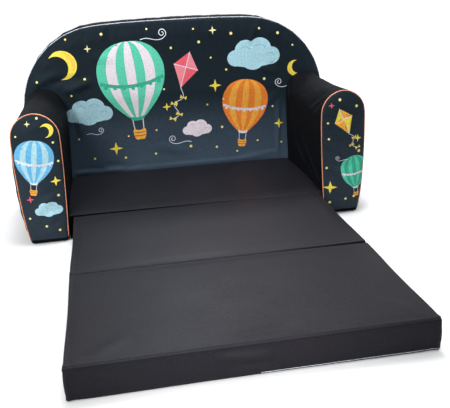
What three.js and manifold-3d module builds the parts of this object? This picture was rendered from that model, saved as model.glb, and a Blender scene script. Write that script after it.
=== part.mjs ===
// A children's foam sofa whose seat folds out into a mattress, shown unfolded.
// Three mattress panels lie in a row: the base panel is sewn between the arms, the middle panel
// turns over on to it, and the end panel follows and comes to lie on top of both.
// Millimetres, +Z up, +X to the right and -Y to the front. The origin is on the floor, under the
// middle of the unfolded sofa.
import * as THREE from "three";
import { mergeVertices } from "three/addons/utils/BufferGeometryUtils.js";
import Module from "manifold-3d";

const wasm = await Module();
wasm.setup();

// Overall sizes, over the piping.
const overallWidth = 770;
const overallHeight = 434;
const armHeight = 288;

// Mattress panels. The crown stands above the height of the top seam's edge.
const panelLength = 296;
const panelHeight = 56;
const panelCrown = 4;
const panelCornerRadius = 14;
const panelSideDrawIn = 3;
const panelEndDrawIn = 1;
const panelBorderSwell = 1;

// Folds. The first fold is a strip of cloth along the top, the second one along the underside.
const foldGap = 5;
const foldedSpace = 1;
const foldClearance = 1.5;

// Backrest.
const backThickness = 70;
const backBulge = 7;
const backRearCrown = 5;
const backCornerRadius = 200;
const backTopRise = 4;
const backWaist = 3;

// Arms. They are widest at the shoulder and narrow towards the floor.
const armWidth = 100;
const armBulge = 5;
const armInnerTaper = 8;
const armOuterTaper = 14;
const armOuterSwell = 2;
const armWaist = 3;

// Cloth, seams and piping.
const cloth = 1.5;
const ease = 0.3;
const seatSpace = 0.5;
const edgeRound = 3;
const edgeShoulder = 12;
const pipeRadius = 2.5;
const pipeFootClearance = 8;

// Zip along the foot of the backrest's rear.
const zipEndMargin = 100;
const zipHeight = 36;
const tapeWidth = 28;
const tapeThickness = 1.2;
const coilWidth = 6;
const coilHeight = 2.4;
const zipFlatMargin = 50;
const sliderLength = 13;
const sliderWall = 1.4;
const sliderEndClearance = 4;
const bridgeRadius = 4;
const bridgeWall = 1.5;
const bridgeWidth = 2.4;
const pullLength = 26;
const pullWidth = 8;
const pullThickness = 1.5;
const pullBar = 1.6;

// Places that follow from the sizes.
const pipeOffset = (pipeRadius + ease) * Math.SQRT1_2;
const pipeStand = pipeOffset + pipeRadius;
const bodyHalfWidth = overallWidth / 2 - pipeStand;
const backTop = overallHeight - pipeStand;
const armTop = armHeight - pipeStand;
const armInner = bodyHalfWidth - armWidth;
const armShoulder = armTop - armWidth / 2;
const panelHalfWidth = armInner - pipeStand - foldClearance - panelBorderSwell;
const zipLength = 2 * (bodyHalfWidth - zipEndMargin);
const zipFlatTop = zipHeight + tapeWidth / 2 + zipFlatMargin;

// The folds' axes: the first lies above the crowns, so that the panels clear each other when the
// middle one has turned over, and the second just under the panels' undersides.
const middleFoldHeight = panelHeight + panelCrown + ease;
const endFoldHeight = -foldedSpace / 2;
const endFoldPlace = -(foldGap + panelLength);

// The backrest stands behind the second fold's strip when the panels are folded in.
const backFace = -endFoldPlace + foldGap / 2 + panelEndDrawIn + foldClearance + backBulge;
const backRear = backFace + backThickness;
const basePanelLength = backFace - backBulge - panelBorderSwell - ease - foldGap / 2;

// How finely round and crowned forms are stepped.
const cornerSteps = 3;
const ringShares = [0.72, 0.36];
const spanShares = [0, 0.25, 0.5, 0.75, 1];
const stripShares = [-1, -0.67, -0.33, 0, 0.33, 0.67, 1];
const pipeSides = 8;

const colours = {
  print: 0x202c3a,
  charcoal: 0x3f3f46,
  black: 0x17181b,
  peach: 0xe0a880,
  pale: 0xbac0c8,
  foam: 0xe9e4d2,
  zipTape: 0x1b1c20,
  metal: 0x8d9094,
};

function material(colour, roughness, metalness) {
  return new THREE.MeshStandardMaterial({ color: colour, roughness, metalness });
}

const finishes = {
  print: material(colours.print, 0.85, 0),
  charcoal: material(colours.charcoal, 0.75, 0),
  black: material(colours.black, 0.85, 0),
  peach: material(colours.peach, 0.7, 0),
  pale: material(colours.pale, 0.7, 0),
  foam: material(colours.foam, 0.95, 0),
  zipTape: material(colours.zipTape, 0.8, 0),
  metal: material(colours.metal, 0.4, 1),
};

// Volume of a closed triangle mesh, negative where its faces point inwards.
function signedVolume(points, triangles) {
  let six = 0;
  for (const [a, b, c] of triangles) {
    six += points[a].dot(points[b].clone().cross(points[c]));
  }
  return six / 6;
}

// A closed solid through rings of equally many points. The ends are closed by a fan around their
// middle, or by a strip where the ring is a thin section, or the last ring joins the first.
function loft(rings, ends) {
  const count = rings[0].length;
  const points = rings.flat();
  const triangles = [];
  const quad = (a, b, c, d) => triangles.push([a, b, c], [a, c, d]);
  const last = rings.length - 1;
  const joined = ends === "ring" ? rings.length : last;
  for (let ring = 0; ring < joined; ring++) {
    const here = ring * count;
    const there = ((ring + 1) % rings.length) * count;
    for (let i = 0; i < count; i++) {
      const next = (i + 1) % count;
      quad(here + i, here + next, there + next, there + i);
    }
  }
  if (ends === "fan") {
    for (const [ring, turned] of [[0, true], [last, false]]) {
      const middle = points.push(middleOf(rings[ring])) - 1;
      for (let i = 0; i < count; i++) {
        const a = ring * count + i;
        const b = ring * count + ((i + 1) % count);
        triangles.push(turned ? [b, a, middle] : [a, b, middle]);
      }
    }
  }
  if (ends === "strip") {
    for (const [ring, turned] of [[0, true], [last, false]]) {
      for (let i = 0; i < count / 2 - 1; i++) {
        const a = ring * count + i;
        const b = ring * count + (count - 1 - i);
        if (turned) quad(a + 1, a, b, b - 1);
        else quad(a, a + 1, b - 1, b);
      }
    }
  }
  const inwards = signedVolume(points, triangles) < 0;
  const geometry = new THREE.BufferGeometry().setFromPoints(points);
  geometry.setIndex(triangles.flatMap(([a, b, c]) => (inwards ? [a, c, b] : [a, b, c])));
  geometry.computeVertexNormals();
  return geometry;
}

function middleOf(points) {
  const sum = points[0].clone().multiplyScalar(0);
  points.forEach((point) => sum.add(point));
  return sum.divideScalar(points.length);
}

// Points along a chain of curves, each with its own number of steps.
function trace(pieces) {
  const points = [];
  for (const [curve, steps] of pieces) {
    const run = curve.getPoints(steps);
    points.push(...(points.length ? run.slice(1) : run));
  }
  return points;
}

// An outline that runs anticlockwise, moved inwards by a distance, with mitred corners.
function inset(loop, distance) {
  const outward = (from, to) => new THREE.Vector2(to.y - from.y, from.x - to.x).normalize();
  return loop.map((point, i) => {
    const before = outward(loop.at(i - 1), point);
    const after = outward(point, loop[(i + 1) % loop.length]);
    const mitre = before.clone().add(after).divideScalar(1 + before.dot(after));
    return point.clone().addScaledVector(mitre, -distance);
  });
}

// How full a padded face is, from 0 at the edges of its box to 1 in the middle.
function fullness(u, v) {
  return Math.sqrt(Math.max(0, 1 - u * u) * Math.max(0, 1 - v * v));
}

// The rings of a padded face, from its seam to near its middle, each point with its depth.
function faceRings(loop, place, depthAt, seamDepthAt, from) {
  const start = inset(loop, from);
  const shoulder = inset(loop, edgeShoulder);
  const middle = middleOf(shoulder);
  const flat = [inset(loop, Math.max(from, edgeRound)), shoulder];
  for (const share of ringShares) {
    flat.push(shoulder.map((point) => point.clone().lerp(middle, 1 - share)));
  }
  const rings = flat.map((ring) => ring.map((point) => place(point, depthAt(point))));
  return [start.map((point) => place(point, seamDepthAt(point))), ...rings];
}

// A sewn cushion: foam inside, a padded face, a border round it and a rear panel. Depth is
// measured from the face's edge inwards. Where the cushion stands on the floor, the outline
// starts and ends there, the border stops there and a base panel closes it.
function cushion({ loop, stands, place, thick, faceOut, rearOut, waist }) {
  const border = stands ?? loop.length;
  const skin = cloth + ease;
  const lap = edgeRound + skin;
  const faceDepth = (point) => -faceOut(point);
  const rearDepth = (point) => thick + rearOut(point);
  const between = (point, share) => {
    const [start, end] = [faceDepth(point) + lap, rearDepth(point) - lap];
    return place(point, start + (end - start) * share);
  };
  const drawn = spanShares.map((share) => waist * (1 - (2 * share - 1) ** 2));
  const wall = (extra) =>
    spanShares.map((share, k) =>
      inset(loop, drawn[k] + extra)
        .slice(0, border)
        .map((point, i) => {
          if (stands && (i === 0 || i === border - 1)) point.y = 0;
          return between(point, share);
        }),
    );
  const outer = wall(0);
  const inner = wall(cloth);
  const section = (i) => [
    ...outer.map((ring) => ring[i]),
    ...inner.map((ring) => ring[i]).reverse(),
  ];
  const rings = (depthAt, inward, from, deeper) =>
    faceRings(loop, place, (p) => depthAt(p) + inward * deeper,
      (p) => depthAt(p) + inward * (edgeRound + deeper), from);
  const panel = (depthAt, inward) =>
    loft([...rings(depthAt, inward, 0, 0).reverse(), ...rings(depthAt, inward, 0, cloth)], "fan");
  const parts = {
    foam: loft(
      [
        ...rings(faceDepth, 1, skin, skin).reverse(),
        ...spanShares.slice(1, -1).map((share, k) =>
          inset(loop, drawn[k + 1] + skin).map((point) => between(point, share)),
        ),
        ...rings(rearDepth, -1, skin, skin),
      ],
      "fan",
    ),
    face: panel(faceDepth, 1),
    border: stands
      ? loft(Array.from({ length: border }, (_, i) => section(i)), "strip")
      : loft([...outer, ...inner.reverse()], "ring"),
    rear: panel(rearDepth, -1),
  };
  if (stands) {
    parts.base = loft(
      spanShares.map((share, k) => {
        const feet = inset(loop, drawn[k] + skin);
        const [left, right] = [feet[0].x, feet[border - 1].x];
        return [[left, 0], [right, 0], [right, cloth], [left, cloth]].map(([x, z]) =>
          between(new THREE.Vector2(x, z), share),
        );
      }),
      "fan",
    );
  }
  return parts;
}

// Piping in the front seam of a cushion that stands on the floor: a round cord that follows the
// outline just outside it, and stops short of the floor.
function seamPiping(loop, stands, place, faceOut) {
  const rails = Array.from({ length: pipeSides }, (_, k) => {
    const angle = (2 * Math.PI * k) / pipeSides;
    const outward = pipeOffset + pipeRadius * Math.cos(angle);
    const behindSeam = edgeRound - pipeOffset + pipeRadius * Math.sin(angle);
    const line = inset(loop, -outward).slice(0, stands);
    for (const [end, next] of [[line[0], line[1]], [line.at(-1), line.at(-2)]]) {
      end.lerp(next, (pipeFootClearance - end.y) / (next.y - end.y));
    }
    return line.map((point, i) => place(point, behindSeam - faceOut(loop[i])));
  });
  return loft(rails[0].map((_, i) => rails.map((rail) => rail[i])), "fan");
}

const sofa = new THREE.Group();

function add(name, geometry, finish, group = sofa) {
  const mesh = new THREE.Mesh(geometry, finish);
  mesh.name = name;
  group.add(mesh);
  return mesh;
}

// Where the backrest's round corners start: how far out, how high, and the height of their top.
const backCornerPlace = bodyHalfWidth - backCornerRadius;
const backCornerTop = backTop - backTopRise;
const backCornerHeight = backCornerTop - backCornerRadius;

// Outline of the backrest, seen from the front: upright sides, large round corners and a top
// edge that rises a little towards the middle. It runs anticlockwise from the right foot.
function backOutline() {
  const point = (x, z) => new THREE.Vector2(x, z);
  const corner = (x, from) =>
    new THREE.EllipseCurve(x, backCornerHeight, backCornerRadius, backCornerRadius,
      from, from + Math.PI / 2, false);
  const upright = (x, from, to) => new THREE.LineCurve(point(x, from), point(x, to));
  const crest = new THREE.QuadraticBezierCurve(
    point(backCornerPlace, backCornerTop),
    point(0, backTop + backTopRise),
    point(-backCornerPlace, backCornerTop),
  );
  const arch = trace([
    [upright(bodyHalfWidth, 0, backCornerHeight), 3],
    [corner(backCornerPlace, 0), 7],
    [crest, 6],
    [corner(-backCornerPlace, Math.PI / 2), 7],
    [upright(-bodyHalfWidth, backCornerHeight, 0), 3],
  ]);
  const floor = trace([[new THREE.LineCurve(arch.at(-1), arch[0]), 7]]).slice(1, -1);
  return { loop: [...arch, ...floor], stands: arch.length };
}

// Height of the backrest's outline at a distance from its middle.
function backTopAt(x) {
  const past = Math.min(Math.abs(x) - backCornerPlace, backCornerRadius);
  if (past > 0) return backCornerHeight + Math.sqrt(backCornerRadius ** 2 - past ** 2);
  return backCornerTop + backTopRise * (1 - (x / backCornerPlace) ** 2);
}

// How far the backrest's front bulges at a place on it.
function backOut(point) {
  const half = backTopAt(point.x) / 2;
  return backBulge * fullness(point.x / bodyHalfWidth, (point.y - half) / half);
}

// Its rear is crowned too, above the flat strip that holds the zip.
function backRearOut(point) {
  const half = (backTopAt(point.x) - zipFlatTop) / 2;
  const middle = zipFlatTop + half;
  return backRearCrown * fullness(point.x / bodyHalfWidth, (point.y - middle) / half);
}

// The backrest: a full-width slab of foam behind the arms, in a cover with a printed front.
function addBackrest() {
  const { loop, stands } = backOutline();
  const place = (point, depth) => new THREE.Vector3(point.x, backFace + depth, point.y);
  const parts = cushion({
    loop,
    stands,
    place,
    thick: backThickness,
    faceOut: backOut,
    rearOut: backRearOut,
    waist: backWaist,
  });
  add("back_foam", parts.foam, finishes.foam);
  add("back_front_panel", parts.face, finishes.print);
  add("back_border", parts.border, finishes.black);
  add("back_rear_panel", parts.rear, finishes.black);
  add("back_base_panel", parts.base, finishes.black);
  add("back_piping", seamPiping(loop, stands, place, backOut), finishes.pale);
}

// Outline of the right arm, seen from the front: a round top, an inner side that leans a little
// outwards to the floor, and an outer side that draws in below. It runs anticlockwise from the
// outer foot.
function armOutline() {
  const radius = armWidth / 2;
  const point = (x, z) => new THREE.Vector2(x, z);
  const outerFoot = point(bodyHalfWidth - armOuterTaper, 0);
  const innerFoot = point(armInner + armInnerTaper, 0);
  const outerShoulder = point(bodyHalfWidth, armShoulder);
  const innerShoulder = point(armInner, armShoulder);
  const outerPull = point(bodyHalfWidth + armOuterSwell, armShoulder / 3);
  const innerPull = point(armInner, armShoulder / 2);
  const arch = trace([
    [new THREE.QuadraticBezierCurve(outerFoot, outerPull, outerShoulder), 5],
    [new THREE.EllipseCurve(armInner + radius, armShoulder, radius, radius, 0, Math.PI, false), 10],
    [new THREE.QuadraticBezierCurve(innerShoulder, innerPull, innerFoot), 4],
  ]);
  return { loop: arch, stands: arch.length };
}

// An arm: a block of foam in a cover with a printed front, sewn to the front of the backrest.
function addArm(name, side) {
  const { loop, stands } = armOutline();
  const half = armTop / 2;
  const middle = armInner + armWidth / 2;
  const place = (point, depth) => new THREE.Vector3(side * point.x, depth, point.y);
  const faceOut = (point) =>
    armBulge * fullness((point.x - middle) / (armWidth / 2), (point.y - half) / half);
  const parts = cushion({
    loop,
    stands,
    place,
    thick: backFace - seatSpace,
    faceOut,
    rearOut: (point) => -backOut(point),
    waist: armWaist,
  });
  add(name + "_foam", parts.foam, finishes.foam);
  add(name + "_front_panel", parts.face, finishes.print);
  add(name + "_wrap", parts.border, finishes.black);
  add(name + "_rear_panel", parts.rear, finishes.black);
  add(name + "_base_panel", parts.base, finishes.black);
  add(name + "_piping", seamPiping(loop, stands, place, faceOut), finishes.peach);
}

// Outline of a mattress panel, seen from above: rounded corners, and sides that draw in a
// little between them.
function panelOutline(halfWidth, length, sideDrawIn) {
  const half = length / 2;
  const [x, y] = [halfWidth - panelCornerRadius, half - panelCornerRadius];
  const corner = (cx, cy, from) =>
    new THREE.EllipseCurve(cx, cy, panelCornerRadius, panelCornerRadius,
      from, from + Math.PI / 2, false);
  const side = (ax, ay, bx, by) =>
    new THREE.LineCurve(new THREE.Vector2(ax, ay), new THREE.Vector2(bx, by));
  const points = trace([
    [corner(x, y, 0), cornerSteps],
    [side(x, half, -x, half), 6],
    [corner(-x, y, Math.PI / 2), cornerSteps],
    [side(-halfWidth, y, -halfWidth, -y), 4],
    [corner(-x, -y, Math.PI), cornerSteps],
    [side(-x, -half, x, -half), 6],
    [corner(x, -y, -Math.PI / 2), cornerSteps],
    [side(halfWidth, -y, halfWidth, y), 4],
  ]).slice(0, -1);
  return points.map((point) => {
    const [u, v] = [point.x / halfWidth, point.y / half];
    const across = u * sideDrawIn * (1 - v * v);
    const along = v * panelEndDrawIn * (1 - u * u);
    return new THREE.Vector2(point.x - across, point.y - along);
  });
}

// A mattress panel with its rear end at a place along the depth of the sofa.
function addPanel(name, halfWidth, length, sideDrawIn, rearEnd) {
  const middle = rearEnd - length / 2;
  const parts = cushion({
    loop: panelOutline(halfWidth, length, sideDrawIn),
    place: (point, depth) => new THREE.Vector3(point.x, middle + point.y, panelHeight - depth),
    thick: panelHeight,
    faceOut: (point) => panelCrown * fullness(point.x / halfWidth, point.y / (length / 2)),
    rearOut: () => 0,
    waist: -panelBorderSwell,
  });
  add(name + "_foam", parts.foam, finishes.foam);
  add(name + "_top_cover", parts.face, finishes.charcoal);
  add(name + "_border", parts.border, finishes.charcoal);
  add(name + "_underside", parts.rear, finishes.black);
}

// Half the width of the base panel, which fills the space between the arms at its own height.
function baseHalfWidth() {
  const share = panelHeight / armShoulder;
  return armInner + armInnerTaper * (1 - share) ** 2 - seatSpace;
}

// The base panel is squeezed between the arms and swells into their waists. The two panels that
// fold are narrower, so that they pass between the arms' piping.
function addMattress() {
  const baseEnd = foldGap / 2 + basePanelLength;
  addPanel("base_panel", baseHalfWidth(), basePanelLength, -armWaist, baseEnd);
  addPanel("middle_panel", panelHalfWidth, panelLength, panelSideDrawIn, -foldGap / 2);
  addPanel("end_panel", panelHalfWidth, panelLength, panelSideDrawIn, endFoldPlace - foldGap / 2);
}

// A strip of cloth on which two panels fold. It fills the gap between their drawn-in ends.
function addFoldStrip(name, place, low) {
  const reach = panelHalfWidth - panelCornerRadius;
  const sections = stripShares.map((share) => {
    const x = reach * share;
    const drawn = panelEndDrawIn * (1 - (x / panelHalfWidth) ** 2);
    const half = foldGap / 2 + drawn - ease;
    const corner = (y, z) => new THREE.Vector3(x, place + y, low + z);
    return [corner(-half, 0), corner(half, 0), corner(half, cloth), corner(-half, cloth)];
  });
  add(name, loft(sections, "fan"), finishes.charcoal);
}

// A closed solid for cutting and joining.
function solid(geometry) {
  const bare = geometry.clone();
  bare.deleteAttribute("normal");
  bare.deleteAttribute("uv");
  const merged = mergeVertices(bare);
  return new wasm.Manifold(
    new wasm.Mesh({
      numProp: 3,
      vertProperties: merged.attributes.position.array,
      triVerts: new Uint32Array(merged.index.array),
    }),
  );
}

function geometryOf(made) {
  const mesh = made.getMesh();
  const geometry = new THREE.BufferGeometry();
  geometry.setAttribute("position", new THREE.BufferAttribute(mesh.vertProperties, 3));
  geometry.setIndex(new THREE.BufferAttribute(mesh.triVerts, 1));
  geometry.computeVertexNormals();
  return geometry;
}

// A bar of one cross-section along X, centred there. The section is drawn outwards from the
// backrest and up.
function barAlongX(section, length) {
  const geometry = new THREE.ExtrudeGeometry(section, { depth: length, bevelEnabled: false });
  geometry.translate(0, 0, -length / 2);
  return geometry.applyMatrix4(
    new THREE.Matrix4().makeBasis(
      new THREE.Vector3(0, 1, 0), new THREE.Vector3(0, 0, 1), new THREE.Vector3(1, 0, 0)),
  );
}

function polygon(corners) {
  return new THREE.Shape(corners.map(([x, y]) => new THREE.Vector2(x, y)));
}

// The zip that opens the backrest's cover, with its slider at one end. The slider's roof and two
// flanges go round the coil. A bridge stands on the roof, and the pull's bar turns in it.
function addZip() {
  const zip = new THREE.Group();
  zip.position.set(0, backRear + ease, zipHeight);
  sofa.add(zip);
  const [halfTape, halfCoil] = [tapeWidth / 2, coilWidth / 2];
  const coilTop = tapeThickness + coilHeight;
  const coilShoulder = halfCoil - coilHeight / 3;
  const chain = polygon([
    [0, -halfTape], [tapeThickness, -halfTape], [tapeThickness, -halfCoil],
    [coilTop, -coilShoulder], [coilTop, coilShoulder],
    [tapeThickness, halfCoil], [tapeThickness, halfTape], [0, halfTape],
  ]);
  add("back_zip_chain", barAlongX(chain, zipLength), finishes.zipTape, zip);

  const slider = new THREE.Group();
  slider.position.x = (zipLength - sliderLength) / 2 - sliderEndClearance;
  zip.add(slider);
  const inside = halfCoil + ease;
  const outside = inside + sliderWall;
  const flangeFoot = tapeThickness + ease;
  const roofUnder = coilTop + ease;
  const roofTop = roofUnder + sliderWall;
  const channel = polygon([
    [flangeFoot, -outside], [roofTop, -outside], [roofTop, outside], [flangeFoot, outside],
    [flangeFoot, inside], [roofUnder, inside], [roofUnder, -inside], [flangeFoot, -inside],
  ]);
  const hinge = roofTop + ease + pullBar / 2;
  const window = bridgeRadius - bridgeWall;
  const bridge = new THREE.Shape();
  bridge.moveTo(bridgeRadius, roofUnder);
  bridge.lineTo(bridgeRadius, hinge);
  bridge.absarc(0, hinge, bridgeRadius, 0, Math.PI, false);
  bridge.lineTo(-bridgeRadius, roofUnder);
  const opening = new THREE.Path();
  opening.moveTo(window, roofTop);
  opening.lineTo(window, hinge);
  opening.absarc(0, hinge, window, 0, Math.PI, false);
  opening.lineTo(-window, roofTop);
  bridge.holes.push(opening);
  const standing = new THREE.ExtrudeGeometry(bridge, {
    depth: bridgeWidth,
    bevelEnabled: false,
    curveSegments: 6,
  });
  standing.translate(0, 0, -bridgeWidth / 2);
  const body = solid(barAlongX(channel, sliderLength)).add(solid(standing));
  add("zip_slider", geometryOf(body), finishes.metal, slider);

  const pull = new THREE.Group();
  pull.position.y = hinge;
  slider.add(pull);
  const halfBar = pullBar / 2;
  const halfPull = pullWidth / 2;
  const eyeLength = bridgeRadius + ease + halfBar;
  const eyeHalf = bridgeWidth / 2 + ease;
  const tip = pullLength - halfPull;
  const tab = new THREE.Shape();
  tab.moveTo(halfBar, halfPull);
  tab.lineTo(-tip, halfPull);
  tab.absarc(-tip, 0, halfPull, Math.PI / 2, (3 * Math.PI) / 2, false);
  tab.lineTo(halfBar, -halfPull);
  const eye = new THREE.Path();
  eye.moveTo(-halfBar, eyeHalf);
  eye.lineTo(-halfBar - eyeLength, eyeHalf);
  eye.lineTo(-halfBar - eyeLength, -eyeHalf);
  eye.lineTo(-halfBar, -eyeHalf);
  tab.holes.push(eye);
  const plate = new THREE.ExtrudeGeometry(tab, {
    depth: pullThickness,
    bevelEnabled: false,
    curveSegments: 5,
  });
  plate.translate(0, 0, -pullThickness / 2);
  plate.rotateX(-Math.PI / 2);
  add("zip_pull", plate, finishes.metal, pull);
}

addBackrest();
addArm("left_arm", -1);
addArm("right_arm", 1);
addMattress();
addFoldStrip("middle_fold_strip", 0, panelHeight - edgeRound - cloth);
addFoldStrip("end_fold_strip", endFoldPlace, edgeRound);
addZip();

// The origin is under the middle of the whole sofa.
const reach = new THREE.Box3().setFromObject(sofa);
sofa.position.y = -(reach.min.y + reach.max.y) / 2;
console.log("middle fold axis: y", sofa.position.y, "z", middleFoldHeight);
console.log("end fold axis: y", sofa.position.y + endFoldPlace, "z", endFoldHeight);

export default sofa;
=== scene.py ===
# %% [markdown]
# # A fold-out sofa for a small child, dressed for the studio
#
# The CAD model gives every solid its place and every hinge its axis. This lesson puts the cloth
# on it: stuffed cushions, printed fronts, piping, folding strips and a zip. Everything is in
# metres, in the frame of the CAD model, and each cell prints what it made.

# %% Load the frame
import math
import random

import bpy
import numpy as np
from mathutils import Matrix, Vector, noise
from mathutils.bvhtree import BVHTree
from mathutils.geometry import delaunay_2d_cdt


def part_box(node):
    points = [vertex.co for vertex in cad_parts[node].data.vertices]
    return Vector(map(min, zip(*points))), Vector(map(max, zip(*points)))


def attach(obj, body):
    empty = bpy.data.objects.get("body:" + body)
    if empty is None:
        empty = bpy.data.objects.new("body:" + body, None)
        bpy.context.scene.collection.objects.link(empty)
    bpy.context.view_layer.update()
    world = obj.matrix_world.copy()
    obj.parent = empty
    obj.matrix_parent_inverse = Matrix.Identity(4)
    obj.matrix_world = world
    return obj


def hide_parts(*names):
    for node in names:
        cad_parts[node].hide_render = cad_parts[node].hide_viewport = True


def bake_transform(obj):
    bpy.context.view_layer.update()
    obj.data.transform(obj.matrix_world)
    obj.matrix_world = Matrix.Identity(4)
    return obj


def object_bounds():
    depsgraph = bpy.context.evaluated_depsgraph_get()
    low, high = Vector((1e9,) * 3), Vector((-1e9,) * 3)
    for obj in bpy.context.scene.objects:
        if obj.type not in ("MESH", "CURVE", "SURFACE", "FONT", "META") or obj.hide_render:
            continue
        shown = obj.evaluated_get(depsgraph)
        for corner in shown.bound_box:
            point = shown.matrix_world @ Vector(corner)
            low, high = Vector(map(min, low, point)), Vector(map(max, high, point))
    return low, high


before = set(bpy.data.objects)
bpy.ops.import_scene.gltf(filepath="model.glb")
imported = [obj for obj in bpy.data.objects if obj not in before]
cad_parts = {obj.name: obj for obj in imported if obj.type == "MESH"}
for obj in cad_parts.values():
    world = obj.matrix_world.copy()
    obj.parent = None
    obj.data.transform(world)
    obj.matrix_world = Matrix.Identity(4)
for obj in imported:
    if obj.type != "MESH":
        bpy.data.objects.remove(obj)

cad_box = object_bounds()
print("the sofa measures", [round(b - a, 3) for a, b in zip(*cad_box)])

# %% [markdown]
# ## The camera
#
# The picture was taken from close by, a little over half a metre above the floor and a little to
# the left, with a normal lens. A camera could be pushed about until the picture fits. Here its
# place and its three angles were worked out from the sofa's corners, so they are written down as
# numbers, and the camera's own three directions follow from them.

# %% Place the camera
camera_place = Vector((-0.17857, -1.32365, 0.56242))
camera_turn, camera_dip, camera_tilt = (math.radians(a) for a in (9.412, 19.533, -2.544))
focal_pixels = 689.6
picture_width = 450

bpy.ops.object.camera_add(location=camera_place)
camera = bpy.context.object
ahead = Vector((
    math.sin(camera_turn) * math.cos(camera_dip),
    math.cos(camera_turn) * math.cos(camera_dip),
    -math.sin(camera_dip),
))
level_right = Vector((math.cos(camera_turn), -math.sin(camera_turn), 0))
level_up = level_right.cross(ahead)
camera_right = level_right * math.cos(camera_tilt) + level_up * math.sin(camera_tilt)
camera_up = level_up * math.cos(camera_tilt) - level_right * math.sin(camera_tilt)
turned = Matrix((camera_right, camera_up, -ahead)).transposed().to_4x4()
camera.matrix_world = Matrix.Translation(camera_place) @ turned
camera.data.sensor_width = 36
camera.data.lens = camera.data.sensor_width * focal_pixels / picture_width
bpy.context.scene.camera = camera
print("the lens is", round(camera.data.lens, 1), "mm")

# %% [markdown]
# ## Shader nodes in one line
#
# Every finish below is a small net of shader nodes. By hand each node is added, its numbers are
# typed in and its sockets are joined. One helper does these three things, so that a finish
# reads as a list of its nodes.

# %% A helper for shader nodes
def shader_node(tree, kind, **settings):
    """Adds a node. A setting is a number, a choice, or another node's socket to join."""
    made = tree.nodes.new("ShaderNode" + kind)
    for key, value in settings.items():
        label = key.replace("_", " ").title().replace(" Of ", " of ")
        if label == "Value" or label not in made.inputs:
            found = [s for s in made.inputs if s.name == label or s.identifier == label]
            socket = found[0] if found else None
        else:
            socket = made.inputs[label]
        if isinstance(value, bpy.types.NodeSocket):
            tree.links.new(value, socket)
        elif socket is None or hasattr(made, key):
            setattr(made, key, value)
        else:
            socket.default_value = value
    return made


def share_math(tree, operation, first, second=0.5):
    """A sum on one or two values, each a number or a socket."""
    made = tree.nodes.new("ShaderNodeMath")
    made.operation = operation
    for place, value in enumerate((first, second)):
        if isinstance(value, bpy.types.NodeSocket):
            tree.links.new(value, made.inputs[place])
        else:
            made.inputs[place].default_value = value
    return made.outputs[0]


def mixed(tree, share, first, second, kind="MIX"):
    """Two colours mixed by a share, each a colour or a socket."""
    made = tree.nodes.new("ShaderNodeMix")
    made.data_type = "RGBA"
    made.blend_type = kind
    for socket, value in ((0, share), (6, first), (7, second)):
        if isinstance(value, bpy.types.NodeSocket):
            tree.links.new(value, made.inputs[socket])
        else:
            made.inputs[socket].default_value = value
    return made.outputs[2]


print("a node, a sum and a mix can be made")


# %% Noises, finishes and colours
def noise_at(tree, place, scale, detail, **settings):
    """A noise from 0 to 1 at each place."""
    made = shader_node(tree, "TexNoise", vector=place, scale=scale, detail=detail, **settings)
    return made.outputs["Fac"]


noise_low, noise_high = 0.3, 0.7


def spread(tree, value, least, most):
    """A noise, which seldom leaves its middle range, spread out from least to most."""
    return shader_node(tree, "MapRange", value=value, from_min=noise_low, from_max=noise_high,
                       to_min=least, to_max=most).outputs[0]


def new_finish(name):
    """A material with its net, its shader, and the place on the object that patterns read."""
    finish = bpy.data.materials.new(name)
    finish.use_nodes = True
    tree = finish.node_tree
    place = shader_node(tree, "TexCoord").outputs["Object"]
    return finish, tree, tree.nodes["Principled BSDF"], place


def light_values(red, green, blue):
    """A colour as read off a screen, 0 to 255, as the light values that shaders use."""
    shares = [value / 255 for value in (red, green, blue)]
    return (*(s / 12.92 if s <= 0.04045 else ((s + 0.055) / 1.055) ** 2.4 for s in shares), 1)


print("mid grey is", round(light_values(128, 128, 128)[0], 3), "as light")

# %% [markdown]
# ## The studio
#
# The sofa stands on a white floor, under a plain white sky and five soft lamps. A white floor
# could be forced with more light, but that would bleach the cloth. Instead the light stays plain
# and the floor gets a little glow that only the camera sees. The glow dims where something
# stands close over the floor, so the soft contact shadows stay.

# %% Floor and world
def only_camera_and_gloss(tree):
    """1 for what the camera sees, straight or in a shiny surface, and 0 for light on things."""
    path = tree.nodes.new("ShaderNodeLightPath")
    seen = share_math(
        tree, "MAXIMUM", path.outputs["Is Camera Ray"], path.outputs["Is Glossy Ray"])
    return share_math(tree, "MAXIMUM", seen, path.outputs["Is Transmission Ray"])


floor_size = 60
floor_drop = 0.0006
floor_grey = (0.72, 0.72, 0.72, 1)
glow_near, glow_far = 0.5, 0.8
glow_starts_to_grow, glow_is_full = 0.75, 2.4
shadow_reach = 0.06
bpy.ops.object.select_all(action="DESELECT")
bpy.ops.mesh.primitive_plane_add(size=floor_size, location=(0, 0, cad_box[0].z - floor_drop))
floor = bpy.context.object
floor.name = "studio_floor"
floor_finish, floor_tree, floor_shader, spot_on_floor = new_finish("studio_floor")
floor_shader.inputs["Base Color"].default_value = floor_grey
floor_shader.inputs["Roughness"].default_value = 0.9
floor_shader.inputs["Specular IOR Level"].default_value = 0
floor_shader.inputs["Emission Color"].default_value = (1, 1, 1, 1)
how_far = shader_node(floor_tree, "VectorMath", operation="LENGTH",
                      vector=spot_on_floor).outputs["Value"]
glow = shader_node(floor_tree, "MapRange", value=how_far, from_min=glow_starts_to_grow,
                   from_max=glow_is_full, to_min=glow_near, to_max=glow_far).outputs[0]
open_sky = shader_node(floor_tree, "AmbientOcclusion", distance=shadow_reach,
                       only_local=False).outputs["AO"]
glow = share_math(floor_tree, "MULTIPLY", glow, open_sky)
glow = share_math(floor_tree, "MULTIPLY", only_camera_and_gloss(floor_tree), glow)
floor_tree.links.new(glow, floor_shader.inputs["Emission Strength"])
floor.data.materials.append(floor_finish)

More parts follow.
